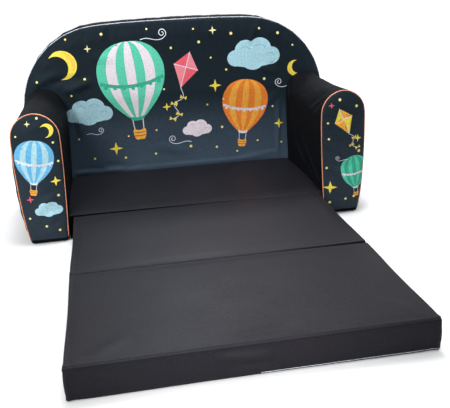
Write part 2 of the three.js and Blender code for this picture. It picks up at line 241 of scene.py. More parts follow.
world = bpy.data.worlds.new("studio")
bpy.context.scene.world = world
world.use_nodes = True
world_tree = world.node_tree
world_light = world_tree.nodes["Background"]
world_light.inputs["Color"].default_value = (1, 1, 1, 1)
ambient = 0.3
seen_white = share_math(
    world_tree, "MULTIPLY", only_camera_and_gloss(world_tree), 1 - ambient)
world_tree.links.new(share_math(world_tree, "ADD", seen_white, ambient),
                     world_light.inputs["Strength"])
bpy.context.scene.view_settings.view_transform = "Standard"
print("floor at", round(floor.location.z, 4))

# %% Soft lamps
spot_mouth = 0.25


def aimed_lamp(kind, name, place, target, power, colour=(1, 1, 1)):
    """A lamp that faces its target."""
    bpy.ops.object.select_all(action="DESELECT")
    bpy.ops.object.light_add(type=kind, location=place)
    lamp = bpy.context.object
    lamp.name = name
    lamp.data.energy = power
    lamp.data.color = colour
    towards = Vector(target) - Vector(place)
    lamp.rotation_euler = towards.to_track_quat("-Z", "Y").to_euler()
    return lamp.data


def soft_box(name, place, target, size, power, colour=(1, 1, 1)):
    """A square softbox, for light without hard shadows."""
    aimed_lamp("AREA", name, place, target, power, colour).size = size


def soft_spot(name, place, target, cone, power, colour=(1, 1, 1)):
    """A wide-mouthed spot, whose pool of light fades out towards its edge."""
    spot = aimed_lamp("SPOT", name, place, target, power, colour)
    spot.spot_size = math.radians(cone)
    spot.spot_blend = 1
    spot.shadow_soft_size = spot_mouth


cool = (0.86, 0.94, 1.0)
faint_blue = (0.93, 0.93, 1.0)
soft_box("lamp_above", (0.05, 0.12, 1.5), (0.03, 0.2, 0.06), size=0.7, power=20, colour=cool)
soft_box("lamp_behind", (0.32, 2.1, 2.2), (-0.03, -0.45, 0.05), size=0.6, power=37,
         colour=faint_blue)
soft_box("lamp_left", (-1.7, -0.9, 0.45), (0.2, 0.1, 0.15), size=0.9, power=7, colour=cool)
soft_spot("lamp_on_the_back", (-0.78, -1.05, 0.9), (0.02, 0.41, 0.17), cone=52, power=64)
soft_spot("lamp_on_the_mattress", (-0.15, -2.4, 1.0), (-0.03, -0.485, 0.035), cone=12, power=700)

# %% [markdown]
# ## Cloth finishes
#
# The mattress, the arms and the back are covered in one kind of cloth: a close polyester weave,
# dull from above and with a soft sheen at low angles. Threads are far finer than a pixel here,
# so a picture of a weave would only flicker. Two stretched noises, one along each thread
# direction, give the uneven yarns, a fine noise the grain, and a broad one the uneven dye. Cloth
# as dark as this shows mostly by its shine, so the grain is in the shine too, whose tint drifts
# from cool to warm. One attribute on the mesh makes the cloth paler where it is rubbed, at edges
# and seams. A second one is painted shade: it makes the cloth dark and dull in the slits between
# the panels.

# %% Woven cloth
# Painted shade: the colour mixed in where the panels meet and shade falls in the slit.
slit_shade = light_values(3, 3, 4)
cool_shine = (0.84, 0.92, 1.0, 1)
warm_shine = (1.0, 0.91, 0.92, 1)
yarn_scales = ((50, 1100, 1100), (1100, 50, 50))
patch_scale, grain_scale, drift_scale = 7.0, 260.0, 4.5
patches_differ, grain_differs, roughness_differs = 0.07, 0.12, 0.05
yarn_height = 0.00025


def woven_finish(name, shade, rubbed, roughness, gloss, sheen=0.0, yarns_differ=0.14,
                 dye_map=None):
    """A close weave in one shade, or in the colours of an attribute on the mesh."""
    finish, tree, cloth, place = new_finish(name)
    yarns = []
    for scale in yarn_scales:
        stretched = shader_node(tree, "Mapping", vector=place, scale=scale).outputs[0]
        yarns.append(noise_at(tree, stretched, 1.0, 2.0))
    weave = share_math(tree, "MULTIPLY", share_math(tree, "ADD", *yarns), 0.5)
    patches = noise_at(tree, place, patch_scale, 4.0, roughness=0.55)
    if dye_map:
        ground = shader_node(tree, "Attribute", attribute_name=dye_map).outputs["Color"]
    else:
        ground = shade
    strong = spread(tree, weave, 1 - yarns_differ, 1 + yarns_differ)
    uneven = spread(tree, patches, 1 - patches_differ, 1 + patches_differ)
    grain = noise_at(tree, place, grain_scale, 2.0)
    mottled = spread(tree, grain, 1 - grain_differs, 1 + grain_differs)
    both = share_math(tree, "MULTIPLY", share_math(tree, "MULTIPLY", strong, uneven), mottled)
    grey = shader_node(tree, "CombineColor", red=both, green=both, blue=both).outputs[0]
    dyed = mixed(tree, 1.0, ground, grey, "MULTIPLY")
    rub = shader_node(tree, "Attribute", attribute_name="rub").outputs["Fac"]
    broken = share_math(tree, "MULTIPLY", rub, patches)
    worn = mixed(tree, broken, dyed, rubbed)
    # Painted shade: this attribute darkens the cloth and takes its shine away in the slits.
    slit = shader_node(tree, "Attribute", attribute_name="slit").outputs["Fac"]
    tree.links.new(mixed(tree, slit, worn, slit_shade), cloth.inputs["Base Color"])
    rough = spread(tree, patches, roughness - roughness_differs, roughness + roughness_differs)
    tree.links.new(rough, cloth.inputs["Roughness"])
    cloth.inputs["Sheen Weight"].default_value = sheen
    cloth.inputs["Sheen Roughness"].default_value = 0.4
    shine = share_math(tree, "MULTIPLY", share_math(tree, "SUBTRACT", 1, slit), gloss)
    tree.links.new(share_math(tree, "MULTIPLY", shine, mottled),
                   cloth.inputs["Specular IOR Level"])
    drift = noise_at(tree, place, drift_scale, 1.0)
    drift = shader_node(tree, "MapRange", value=drift, from_min=0.35, from_max=0.65).outputs[0]
    tree.links.new(mixed(tree, drift, cool_shine, warm_shine), cloth.inputs["Specular Tint"])
    bump = shader_node(tree, "Bump", height=weave, strength=0.35, distance=yarn_height)
    tree.links.new(bump.outputs[0], cloth.inputs["Normal"])
    return finish


charcoal_cloth = woven_finish(
    "charcoal_cloth", light_values(25, 24, 28), light_values(38, 38, 43), roughness=0.5,
    gloss=0.09)
black_cloth = woven_finish(
    "black_cloth", light_values(16, 17, 20), light_values(32, 34, 38), roughness=0.7,
    gloss=0.025)
printed_cloth = woven_finish(
    "printed_cloth", None, light_values(72, 84, 98), roughness=0.6, gloss=0.1,
    yarns_differ=0.05, dye_map="dye")
print("cloth finishes:", charcoal_cloth.name, black_cloth.name, printed_cloth.name)

# %% [markdown]
# ## Piping, zip tape and metal
#
# Piping is a cord inside a strip of satin ribbon cut on the bias, so its threads run slantwise
# round it and it shines more than the cloth. The zip's tape is a plain narrow weave, its coil
# hard nylon, and its slider cast zinc with fine scratches. Each is a noise stretched another
# way, on a shader with its own gloss.

# %% Ribbon, nylon and metal
bias_turn = (0.7, 0.7, 0.7)
bias_scale = (900, 160, 900)
scratch_scale = (200, 3000, 3000)
scratches_differ = 0.08


def ribbon_finish(name, shade, dim):
    """Satin ribbon on the bias."""
    finish, tree, ribbon, place = new_finish(name)
    slanted = shader_node(tree, "Mapping", vector=place, rotation=bias_turn,
                          scale=bias_scale).outputs[0]
    threads = noise_at(tree, slanted, 1.0, 2.0)
    stains = noise_at(tree, place, 30.0, 3.0)
    fine = shader_node(tree, "MapRange", value=threads, from_min=0.35, from_max=0.65).outputs[0]
    tree.links.new(mixed(tree, fine, dim, shade), ribbon.inputs["Base Color"])
    rough = shader_node(tree, "MapRange", value=stains, to_min=0.35, to_max=0.55).outputs[0]
    tree.links.new(rough, ribbon.inputs["Roughness"])
    bump = shader_node(tree, "Bump", height=threads, strength=0.4, distance=0.0002)
    tree.links.new(bump.outputs[0], ribbon.inputs["Normal"])
    ribbon.inputs["Sheen Weight"].default_value = 0.2
    return finish


def hard_finish(name, shade, scratched, metallic, roughness):
    """Cast metal or moulded nylon, with fine scratches."""
    finish, tree, hard, place = new_finish(name)
    drawn = shader_node(tree, "Mapping", vector=place, scale=scratch_scale).outputs[0]
    scratches = noise_at(tree, drawn, 1.0, 3.0)
    clouds = noise_at(tree, place, grain_scale, 3.0)
    tree.links.new(mixed(tree, clouds, shade, scratched), hard.inputs["Base Color"])
    rough = spread(tree, scratches, roughness - scratches_differ, roughness + scratches_differ)
    tree.links.new(rough, hard.inputs["Roughness"])
    bump = shader_node(tree, "Bump", height=scratches, strength=0.15, distance=0.0001)
    tree.links.new(bump.outputs[0], hard.inputs["Normal"])
    hard.inputs["Metallic"].default_value = metallic
    return finish


peach_ribbon = ribbon_finish(
    "peach_ribbon", light_values(247, 168, 126), light_values(218, 124, 84))
pale_ribbon = ribbon_finish(
    "pale_ribbon", light_values(204, 209, 216), light_values(150, 157, 168))
zinc = hard_finish("zinc", light_values(150, 152, 156), light_values(118, 120, 124),
                   metallic=1.0, roughness=0.34)
nylon = hard_finish("nylon", light_values(26, 27, 31), light_values(40, 41, 46),
                    metallic=0.0, roughness=0.38)
tape_cloth = woven_finish(
    "tape_cloth", light_values(24, 25, 28), light_values(60, 61, 66), roughness=0.7, gloss=0.2,
    sheen=0.05)
print("hard finishes:", zinc.name, nylon.name)

# %% [markdown]
# ## Hands for the workbench
#
# Operators act on whatever is selected, so a piece is always picked first. Points are moved by
# reading them all into a table, changing the table and writing it back, which is what a sculpt
# brush does to the points under it.

# %% Pick, read and write
def pick(*pieces):
    """Makes these the only selected objects, in object mode."""
    if bpy.context.mode != "OBJECT":
        bpy.ops.object.mode_set(mode="OBJECT")
    bpy.ops.object.select_all(action="DESELECT")
    for piece in pieces:
        piece.select_set(True)
    bpy.context.view_layer.objects.active = pieces[0]
    return pieces[0]


def read_points(piece):
    """All points of a mesh as a table of x, y and z."""
    table = np.empty(len(piece.data.vertices) * 3, np.float32)
    piece.data.vertices.foreach_get("co", table)
    return table.reshape(-1, 3).astype(float)


def read_normals(piece):
    """The outward direction at each point."""
    table = np.empty(len(piece.data.vertices) * 3, np.float32)
    piece.data.vertices.foreach_get("normal", table)
    return table.reshape(-1, 3).astype(float)


def write_points(piece, places):
    """Moves all points of a mesh to new places."""
    piece.data.vertices.foreach_set("co", places.astype(np.float32).ravel())
    piece.data.update()


def neighbour_mean(piece, table):
    """For each point of a mesh, the mean of a table's rows at the points joined to it."""
    pairs = np.empty(len(piece.data.edges) * 2, np.int32)
    piece.data.edges.foreach_get("vertices", pairs)
    pairs = pairs.reshape(-1, 2)
    total, count = np.zeros_like(table), np.zeros(len(table))
    for here, there in (pairs.T, pairs.T[::-1]):
        np.add.at(total, here, table[there])
        np.add.at(count, here, 1)
    return total / count[:, None]


print("points can be read and moved")


# %% Skins, new objects and modifiers
def skin_of(piece):
    """The surface of a piece, in a form that answers where it is nearest or hit."""
    return BVHTree.FromPolygons([v.co for v in piece.data.vertices],
                                [p.vertices for p in piece.data.polygons])


def eased(share):
    """A share from 0 to 1 that starts and ends gently."""
    return share ** 2 * (3 - 2 * share)


def new_object(name, mesh):
    """An object for a mesh, put into the scene."""
    made = bpy.data.objects.new(name, mesh)
    bpy.context.scene.collection.objects.link(made)
    return made


def add_modifier(piece, kind, **settings):
    """Adds a modifier to a piece and types in its settings."""
    pick(piece)
    bpy.ops.object.modifier_add(type=kind)
    for key, value in settings.items():
        setattr(piece.modifiers[-1], key, value)
    return piece.modifiers[-1]


def apply_modifiers(piece):
    """Makes the result of every modifier the mesh itself."""
    pick(piece)
    for modifier in list(piece.modifiers):
        bpy.ops.object.modifier_apply(modifier=modifier.name)


def in_edit_mode(piece, *steps):
    """Runs edit mode operators, each with its settings, on the whole mesh."""
    pick(piece)
    bpy.ops.object.mode_set(mode="EDIT")
    bpy.ops.mesh.select_all(action="SELECT")
    for operator, settings in steps:
        operator(**settings)
    bpy.ops.object.mode_set(mode="OBJECT")


print("a quarter eased is", eased(0.25))

# %% Copy a CAD solid
sewn_within = 0.00002
widest_bend, widest_skew = 1.2, 2.0


def copied_form(name, node):
    """A copy of a CAD solid with its loose triangles sewn together."""
    form = new_object(name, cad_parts[node].data.copy())
    form.data.materials.clear()
    in_edit_mode(
        form,
        (bpy.ops.mesh.customdata_custom_splitnormals_clear, {}),
        (bpy.ops.mesh.remove_doubles, {"threshold": sewn_within}),
        (bpy.ops.mesh.tris_convert_to_quads, {
            "face_threshold": widest_bend, "shape_threshold": widest_skew}),
    )
    return form


print("triangles are sewn within", 1000 * sewn_within, "mm")

# %% [markdown]
# ## Stuffed cushions
#
# The sofa is six blocks of foam in tight covers: three mattress panels, two arms and a back.
# A block could be a rounded box, but a sewn cover shows itself in small things: it is drawn
# tight at its seams, swells between them and puckers where there is a little too much cloth.
# So each block starts as a copy of its foam, slightly too small. Its surface is made of even
# squares, and a cloth simulation blows it up from inside while its seams are held.

# %% Foam blocks with even squares
square_size = 0.0055
floor_band = 0.004
crease_height = 0.0025


def block(name, node, stands):
    """A copy of a foam block in even squares. One that stands on the floor keeps sharp feet."""
    form = copied_form(name, node)
    if stands:
        pick(form)
        bpy.context.tool_settings.mesh_select_mode = (False, True, False)
        lowest = min(v.co.z for v in form.data.vertices)
        for edge in form.data.edges:
            edge.select = all(
                form.data.vertices[i].co.z < lowest + crease_height for i in edge.vertices)
        bpy.ops.object.mode_set(mode="EDIT")
        bpy.ops.transform.edge_crease(value=1.0)
        bpy.ops.object.mode_set(mode="OBJECT")
    add_modifier(form, "SUBSURF", levels=2, render_levels=2)
    apply_modifiers(form)
    true_form = new_object("true_form", form.data.copy())
    form.data.remesh_voxel_size = square_size
    bpy.ops.object.voxel_remesh()
    add_modifier(form, "SHRINKWRAP", target=true_form)
    apply_modifiers(form)
    bpy.data.objects.remove(true_form)
    print(name, "has", len(form.data.vertices), "points")
    return form


back_cushion = block("back_cushion", "back_foam", True)
left_arm_cushion = block("left_arm_cushion", "left_arm_foam", True)
right_arm_cushion = block("right_arm_cushion", "right_arm_foam", True)
base_cushion = block("base_cushion", "base_panel_foam", False)
middle_cushion = block("middle_cushion", "middle_panel_foam", False)
end_cushion = block("end_cushion", "end_panel_foam", False)
arm_cushions = [left_arm_cushion, right_arm_cushion]
panel_cushions = [base_cushion, middle_cushion, end_cushion]
cushions = [back_cushion, *arm_cushions, *panel_cushions]

# %% [markdown]
# ## Blowing the cushions up
#
# Seams don't swell: thread holds them. In a simulation such points are pinned, through a
# vertex group that says how firmly each point is held. On the back and the arms these are the
# rings round the front and the rear, on the panels the rims above and below, and the floor
# holds what stands on it. All six are simulated together, so that they share the frames.

# %% Which points are held
seam_band = 0.004
zip_strip_top = 0.09
side_limit, wall_limit = 0.85, 0.8


def hold(cushion, held):
    """Puts a table of shares, how firmly each point is held, into a vertex group."""
    group = cushion.vertex_groups.new(name="held")
    for share in np.unique(held):
        if share > 0:
            group.add([int(i) for i in np.flatnonzero(held == share)], float(share), "REPLACE")
    print(cushion.name, "holds", int((held > 0).sum()), "points")


def near(values, place, width):
    """Which values lie within a width of a place."""
    return np.abs(values - place) < width


for cushion in (back_cushion, *arm_cushions):
    points, out = read_points(cushion), read_normals(cushion)
    low, high = points.min(axis=0), points.max(axis=0)
    side = np.abs(out[:, 1]) < side_limit
    rings = side & (near(points[:, 1], np.percentile(points[side, 1], 1), seam_band)
                    | near(points[:, 1], np.percentile(points[side, 1], 99), seam_band))
    held = np.where(rings | (points[:, 2] < low[2] + floor_band), 1.0, 0.0)
    if cushion is back_cushion:
        held[(points[:, 2] < zip_strip_top) & (out[:, 1] > 0.5)] = 1.0
    else:
        held[points[:, 1] > high[1] - 3 * seam_band] = 1.0
    hold(cushion, held)

for cushion in panel_cushions:
    points, out = read_points(cushion), read_normals(cushion)
    low, high = points.min(axis=0), points.max(axis=0)
    wall = np.abs(out[:, 2]) < wall_limit
    rims = wall & (near(points[:, 2], low[2], 2 * seam_band)
                   | near(points[:, 2], np.percentile(points[wall, 2], 97), seam_band))
    hold(cushion, np.where(rims | (points[:, 2] < low[2] + floor_band), 1.0, 0.0))

# %% Simulate
pressure = 4
most_swell = {back_cushion: 0.006, left_arm_cushion: 0.004, right_arm_cushion: 0.004}
most_panel_swell = 0.0003
most_wall_swell = 0.0006
spare_cloth = -0.012
last_frame = 20


def start_cloth(cushion):
    """Gives a cushion a tight cover of cloth with air pressure inside."""
    cover = add_modifier(cushion, "CLOTH").settings
    cover.quality = 4
    cover.mass = 0.2
    cover.tension_stiffness = cover.compression_stiffness = 12
    cover.shear_stiffness = 6
    cover.bending_stiffness = 0.3
    cover.air_damping = 2
    cover.use_pressure = True
    cover.uniform_pressure_force = pressure
    cover.effector_weights.gravity = 0
    cover.vertex_group_mass = "held"
    cover.shrink_min = spare_cloth if cushion in (back_cushion, *arm_cushions) else 0
    cushion.modifiers[-1].collision_settings.use_collision = False


def capped(before, after, most):
    """The moves from before to after, none of them longer than most."""
    move = after - before
    length = np.linalg.norm(move, axis=1)
    return before + move * np.minimum(1, most / np.maximum(length, 1e-9))[:, None]


starts = {cushion: read_points(cushion) for cushion in cushions}
for cushion in cushions:
    start_cloth(cushion)
for number in range(1, last_frame + 1):
    bpy.context.scene.frame_set(number)
for cushion in cushions:
    apply_modifiers(cushion)
    swollen = read_points(cushion)
    reach = np.linalg.norm(swollen - starts[cushion], axis=1)
    most = most_swell.get(cushion, most_panel_swell)
    if cushion in panel_cushions:
        wall = np.abs(read_normals(cushion)[:, 2]) < wall_limit
        most = np.where(wall, most_wall_swell, most_panel_swell)
    write_points(cushion, capped(starts[cushion], swollen, most))
    print(cushion.name, "swelled by up to", round(1000 * reach.max(), 1), "mm")
bpy.context.scene.frame_set(1)

# %% Round the covers and bring them to size
cover_skin = 0.0015
smoothings = 3

for cushion in cushions:
    add_modifier(cushion, "SUBSURF", levels=1, render_levels=1)
    add_modifier(cushion, "SMOOTH", iterations=smoothings)
    apply_modifiers(cushion)
    write_points(cushion, read_points(cushion) + read_normals(cushion) * cover_skin)
    cushion.vertex_groups.clear()
    in_edit_mode(cushion, (bpy.ops.mesh.faces_shade_smooth, {}))
    low, high = (np.round(1000 * f(read_points(cushion), axis=0), 1) for f in (np.min, np.max))
    print(cushion.name, "from", low, "to", high)

# %% [markdown]
# ## Crisp edges
#
# The panels' covers are cut square and pulled tight, so their edges and corners are nearly
# sharp, but squares as coarse as these round them off. A bevel would not help, because there is
# no edge left to bevel. Each point near an edge is pushed outwards instead, the more the closer
# it lies to the edge's middle, which turns the round edge into a tight one.

# %% Tighten the edges of the panels
edge_zone = 0.009
corner_zone = 0.016
tightness = 6


def tightened(points, low, high, zone, axes):
    """Points near an edge of a box, moved from a round edge out to a tight one."""
    middle, half = (low + high) / 2, (high - low) / 2
    away = points - middle
    over = np.maximum(np.abs(away) - (half - zone), 0)[:, axes]
    round_length = np.linalg.norm(over, axis=1)
    tight_length = (over ** tightness).sum(axis=1) ** (1 / tightness)
    grow = np.where(tight_length > 0, round_length / np.maximum(tight_length, 1e-9), 1)
    moved = points.copy()
    for place, axis in enumerate(axes):
        moved[:, axis] += np.sign(away[:, axis]) * over[:, place] * (grow - 1)
    return moved


for cushion in panel_cushions:
    points, out = read_points(cushion), read_normals(cushion)
    low, high = points.min(axis=0), points.max(axis=0)
    crowned = high[2]
    rim = np.abs(points[:, 1] - low[1]) < edge_zone
    high[2] = points[rim, 2].max()
    points = tightened(points, low, high, corner_zone, [0, 1])
    points = tightened(points, low, high, edge_zone, [0, 1, 2])
    write_points(cushion, points)
    print(cushion.name, "rim at", round(1000 * high[2], 1), "crown at", round(1000 * crowned, 1))

# %% [markdown]
# ## Panels pressed against each other
#
# On the real mattress the panels don't lie apart evenly. The first gap is open at the left and
# closed at the right, the second the other way round. So the facing ends move towards each other,
# less where the gap stays open, and there shade is painted into the slit: the finish darkens it.
# Turning the panels would do it too, but then they would not fold straight.

# %% Press the panels against each other
press_zone = 0.02
slit_depth = 0.0006
tight_push = 0.0011
panel_ends = {stem: [c.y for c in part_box(stem + "_panel_border")]
              for stem in ("base", "middle", "end")}
half_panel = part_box("base_panel_border")[1].x


def closed_share(x, open_side, reach):
    """0 where a gap is widest, at its left (-1) or right (1) end, and 1 where it is closed."""
    from_open_end = (1 - open_side * x / half_panel) / 2
    return np.clip(from_open_end / reach, 0, 1)


def press(cushion, wall, way, open_side, reach, open_push, darkness):
    """Moves the end of a panel towards its neighbour, and paints shade into the slit between them.
    """
    points = read_points(cushion)
    near_wall = np.clip(1 - np.abs(points[:, 1] - wall) / press_zone, 0, 1)
    closed = closed_share(points[:, 0], open_side, reach)
    push = open_push + (tight_push - open_push) * closed
    points[:, 1] += way * push * eased(near_wall)
    write_points(cushion, points)
    # Painted shade: just below the top of the facing end the slit is darkened, less where the gap
    # closes.
    top = points[np.abs(points[:, 1] - wall) < edge_zone, 2].max()
    deep = np.clip((top - points[:, 2]) / slit_depth, 0, 1)
    facing = np.clip(read_normals(cushion)[:, 1] * way * 3 - 0.6, 0, 1)
    slit = cushion.data.attributes.get("slit") or cushion.data.attributes.new(
        "slit", "FLOAT", "POINT")
    before = np.zeros(len(points), np.float32)
    slit.data.foreach_get("value", before)
    dark = darkness * (1 - closed ** 3) * deep * facing * (np.abs(points[:, 1] - wall) < edge_zone)
    slit.data.foreach_set("value", np.maximum(before, dark).astype(np.float32))
    print(cushion.name, "pushed by up to", round(1000 * push.max(), 1), "mm")


# Where each gap is open, how far its ends are pushed, and how dark the painted shade in its slit
# is.
first_gap = {"open_side": -1, "reach": 0.72}
first_slit_push_and_shade = {"open_push": -0.0007, "darkness": 1}
second_gap = {"open_side": 1, "reach": 0.36}
second_slit_push_and_shade = {"open_push": 0.0, "darkness": 0.6}
press(base_cushion, panel_ends["base"][0], -1, **first_gap, **first_slit_push_and_shade)
press(middle_cushion, panel_ends["middle"][1], 1, **first_gap, **first_slit_push_and_shade)
press(middle_cushion, panel_ends["middle"][0], -1, **second_gap, **second_slit_push_and_shade)
press(end_cushion, panel_ends["end"][1], 1, **second_gap, **second_slit_push_and_shade)

# %% [markdown]
# ## Where the cloth is rubbed
#
# Hands and feet polish the proud places first. How far a point stands out over its neighbours
# tells which places are proud, and the finish makes them a little paler. A worn patch could be
# painted, but measured like this the wear keeps to the edges wherever a fold puts them.

# %% Mark the proud places
least_proud = 0.00015
most_proud = 0.00055


def rub_proud_places(piece):
    """Writes how proud each point is into the attribute that the finish reads."""
    points, out = read_points(piece), read_normals(piece)
    proud = ((points - neighbour_mean(piece, points)) * out).sum(axis=1)
    rub = piece.data.attributes.new("rub", "FLOAT", "POINT")
    share = np.clip((proud - least_proud) / (most_proud - least_proud), 0, 1)
    rub.data.foreach_set("value", share.astype(np.float32))
    print(piece.name, "is rubbed at", int((share > 0.1).sum()), "points")


print("proud from", 1000 * least_proud, "to", 1000 * most_proud, "mm")

# %% The cushions' cloth, and what they ride on and replace
for cushion in cushions:
    cushion.data.materials.append(charcoal_cloth if cushion in panel_cushions else black_cloth)

bodies = {"middle_cushion": "middle_section", "end_cushion": "end_section"}
for cushion in cushions:
    stem = cushion.name.replace("_cushion", "_panel_" if cushion in panel_cushions else "_")
    parts = (("foam", "top_cover", "border", "underside") if cushion in panel_cushions
             else ("foam", "border", "rear_panel", "base_panel") if cushion is back_cushion
             else ("foam", "wrap", "rear_panel", "base_panel"))
    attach(cushion, bodies.get(cushion.name, "sofa_body"))
    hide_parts(*(stem + part for part in parts))
    print(cushion.name, "rides on", bodies.get(cushion.name, "sofa_body"))

# %% [markdown]
# ## Folds where the cloth is pulled
#
# The simulation gives the swell and the small puckers. The larger folds come from how this sofa
# was sewn and sat on: drag lines from the arms' shoulders over the back, soft upright folds in
# the corners, a roll of loose cloth along the foot of the back. They could be painted by hand
# with a sculpt brush. A stroke here does the same: along a line on one side of a cushion, the
# points rise in the middle of the stroke and sink a little beside it.

# %% Fold strokes
trough_share = 0.7
end_reach = 1.15
overrun = 0.2


def stroke_folds(piece, facing, strokes):
    """Raises folds on the side that faces a direction. A stroke is from, to, width, height."""
    points, out = read_points(piece), read_normals(piece)
    facing = np.array(facing, float)
    flat = [axis for axis in range(3) if abs(facing[axis]) < 0.5]
    share = np.clip(out @ facing * 2 - 0.6, 0, 1)
    rise = np.zeros(len(points))
    for start, end, width, height in strokes:
        start, end = np.array(start) / 1000, np.array(end) / 1000
        along = (points[:, flat] - start) @ (end - start) / ((end - start) @ (end - start))
        nearest = start + np.clip(along, 0, 1)[:, None] * (end - start)
        apart = np.linalg.norm(points[:, flat] - nearest, axis=1) / (width / 1000)
        fade = np.clip(end_reach - (2 * np.clip(along, -overrun, 1 + overrun) - 1) ** 2, 0, 1)
        profile = (1 - trough_share * apart ** 2) * np.exp(-apart ** 2)
        rise += height / 1000 * profile * fade
    write_points(piece, points + (rise * share)[:, None] * facing)
    print(piece.name, "folds from", round(1000 * rise.min(), 1), "to", round(1000 * rise.max(), 1))


front, left, up = (0, -1, 0), (-1, 0, 0), (0, 0, 1)
stroke_folds(back_cushion, front, [
    ((-368, 283), (-283, 321), 12, 3.4),
    ((-310, 292), (-241, 310), 8, -2.4),
    ((-282, 270), (-209, 294), 12, 4.4),
    ((-260, 273), (-246, 240), 9, 2.4),
    ((-248, 227), (-251, 156), 8, 3.0),
    ((-264, 243), (-265, 162), 6, -2.0),
    ((-278, 60), (-234, 62), 5, 3.6),
    ((-240, 61), (-200, 60), 4, 2.4),
    ((-204, 61), (-146, 62), 5, 4.4),
    ((-150, 59), (-96, 61), 5, 2.8),
    ((-256, 74), (-206, 70), 5, -1.8),
    ((-202, 78), (-150, 74), 6, -1.4),
    ((-158, 424), (-153, 368), 6, -3.0),
    ((-174, 426), (-173, 388), 7, 2.2),
    ((-206, 350), (-150, 344), 14, 1.8),
    ((-60, 428), (-52, 384), 9, 1.2),
    ((92, 428), (84, 380), 9, 1.4),
    ((214, 410), (182, 356), 10, 1.6),
    ((262, 284), (206, 300), 11, 1.8),
    ((262, 236), (222, 196), 10, 1.6),
    ((262, 214), (259, 62), 6, 3.6),
    ((150, 66), (262, 73), 6, 2.4),
    ((-70, 118), (24, 92), 14, 1.6),
    ((-120, 61), (276, 62), 5, 2.8),
])

# %% Folds on the arms and the mattress
for side, arm in ((-1, left_arm_cushion), (1, right_arm_cushion)):
    stroke_folds(arm, (-side, 0, 0), [
        ((386, 232), (362, 100), 12, 2.0),
        ((342, 206), (302, 112), 10, 3.0),
        ((318, 126), (226, 76), 9, 3.2),
        ((306, 104), (204, 62), 7, -2.2),
        ((258, 144), (178, 102), 9, 2.8),
        ((196, 112), (110, 70), 8, 3.2),
        ((222, 98), (116, 56), 7, -2.2),
        ((196, 236), (150, 150), 14, 1.4),
    ])
    stroke_folds(arm, (side, 0, 0), [
        ((380, 238), (352, 60), 16, 1.8),
        ((250, 232), (236, 52), 18, 1.2),
        ((180, 120), (132, 26), 12, 1.2),
        ((119, 200), (119, 4), 15, 3.2),
    ])
    stroke_folds(arm, front, [
        ((side * 300, 120), (side * 356, 62), 12, 2.0),
        ((side * 352, 246), (side * 308, 262), 9, 1.2),
        ((side * 306, 30), (side * 352, 24), 9, 1.8),
        ((side * 356, 150), (side * 336, 96), 12, -1.6),
        ((side * 296, 74), (side * 330, 48), 10, 1.6),
    ])
    stroke_folds(arm, up, [
        ((side * 340, 130), (side * 342, 330), 34, 3.0),
        ((side * 296, 386), (side * 366, 398), 9, 1.6),
        ((side * 300, 352), (side * 352, 366), 10, 1.0),
    ])

stroke_folds(end_cushion, front, [
    ((-66, 38), (24, 33), 8, 2.8),
    ((-52, 21), (30, 19), 9, -2.0),
    ((-248, 42), (-200, 20), 10, 1.4),
    ((150, 18), (232, 40), 12, 1.2),
])
stroke_folds(end_cushion, up, [
    ((-30, -474), (60, -466), 12, -1.6),
    ((-236, -478), (-180, -440), 16, 0.9),
    ((244, -470), (200, -420), 16, 0.9),
])
stroke_folds(middle_cushion, up, [
    ((-250, 60), (-190, 20), 18, 0.8),
])
stroke_folds(base_cushion, up, [
    ((-262, 384), (-150, 372), 12, 1.2),
    ((262, 380), (170, 360), 14, 1.2),
])

# %% [markdown]
# ## Room for the folded seat
#
# Folded up, the middle and end panels lie on the base panel right in front of the back, and on
# the real sofa they push its foam in a little. That hollow could be pressed in by the pose, but
# it stays in the foam of a sofa that is used as a seat, so it is part of the back's shape here.
# Over the height of the folded panels the swell of the back's front is taken out and a shallow
# hollow takes its place, which runs out above them.

# %% Room for the folded seat
stack_top = 0.186
stack_fade = 0.07
hollow = 0.412
deepest_hollow = 0.4135
nearest_fold = 0.408
softness = 0.0005


def leave_room(cushion):
    """Sets the foot of the back's front so far back that the folded panels don't touch it."""
    points, out = read_points(cushion), read_normals(cushion)
    front_side = (out[:, 1] < -0.3) & (points[:, 1] < back_seam_place)
    low = front_side & (points[:, 2] > panel_rise) & (points[:, 2] < stack_top)
    level = np.median(points[low, 1])
    fade = np.clip((stack_top + stack_fade - points[:, 2]) / stack_fade, 0, 1)
    fade = eased(fade) * front_side
    back = np.minimum(points[:, 1] + fade * (hollow - level),
                      np.maximum(points[:, 1], deepest_hollow))
    kept = nearest_fold + softness * np.logaddexp(0, (back - nearest_fold) / softness)
    in_stack = (points[:, 2] < stack_top) & front_side
    points[:, 1] = np.where(in_stack, kept, back + fade * (kept - back))
    write_points(cushion, points)
    print(cushion.name, "front was at", round(1000 * level, 1), "and is at least at",
          round(1000 * points[low, 1].min(), 1), "mm")


back_seam_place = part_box("back_border")[0].y
panel_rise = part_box("base_panel_border")[1].z
leave_room(back_cushion)

# %% Rub the folded cloth
for cushion in cushions:
    rub_proud_places(cushion)

# %% [markdown]
# ## Sewn edges and cloth hinges
#
# The top and the underside of each panel are sewn to the border with the raw edges inside, so a
# fine welt runs all round. It follows from where a level cut would meet the cushion: the cut's
# line becomes a curve with a round bevel. Between the panels a strip of the same cloth is caught
# in both seams, and it sags a little while the panels lie flat. The second strip lies close to
# the floor, because folding brings it up in front of the back.

# %% Welts along the seams
welt_radius = 0.0007
thread_radius = 0.0005
top_seam_drop = 0.0022
foot_seam_rise = 0.0034


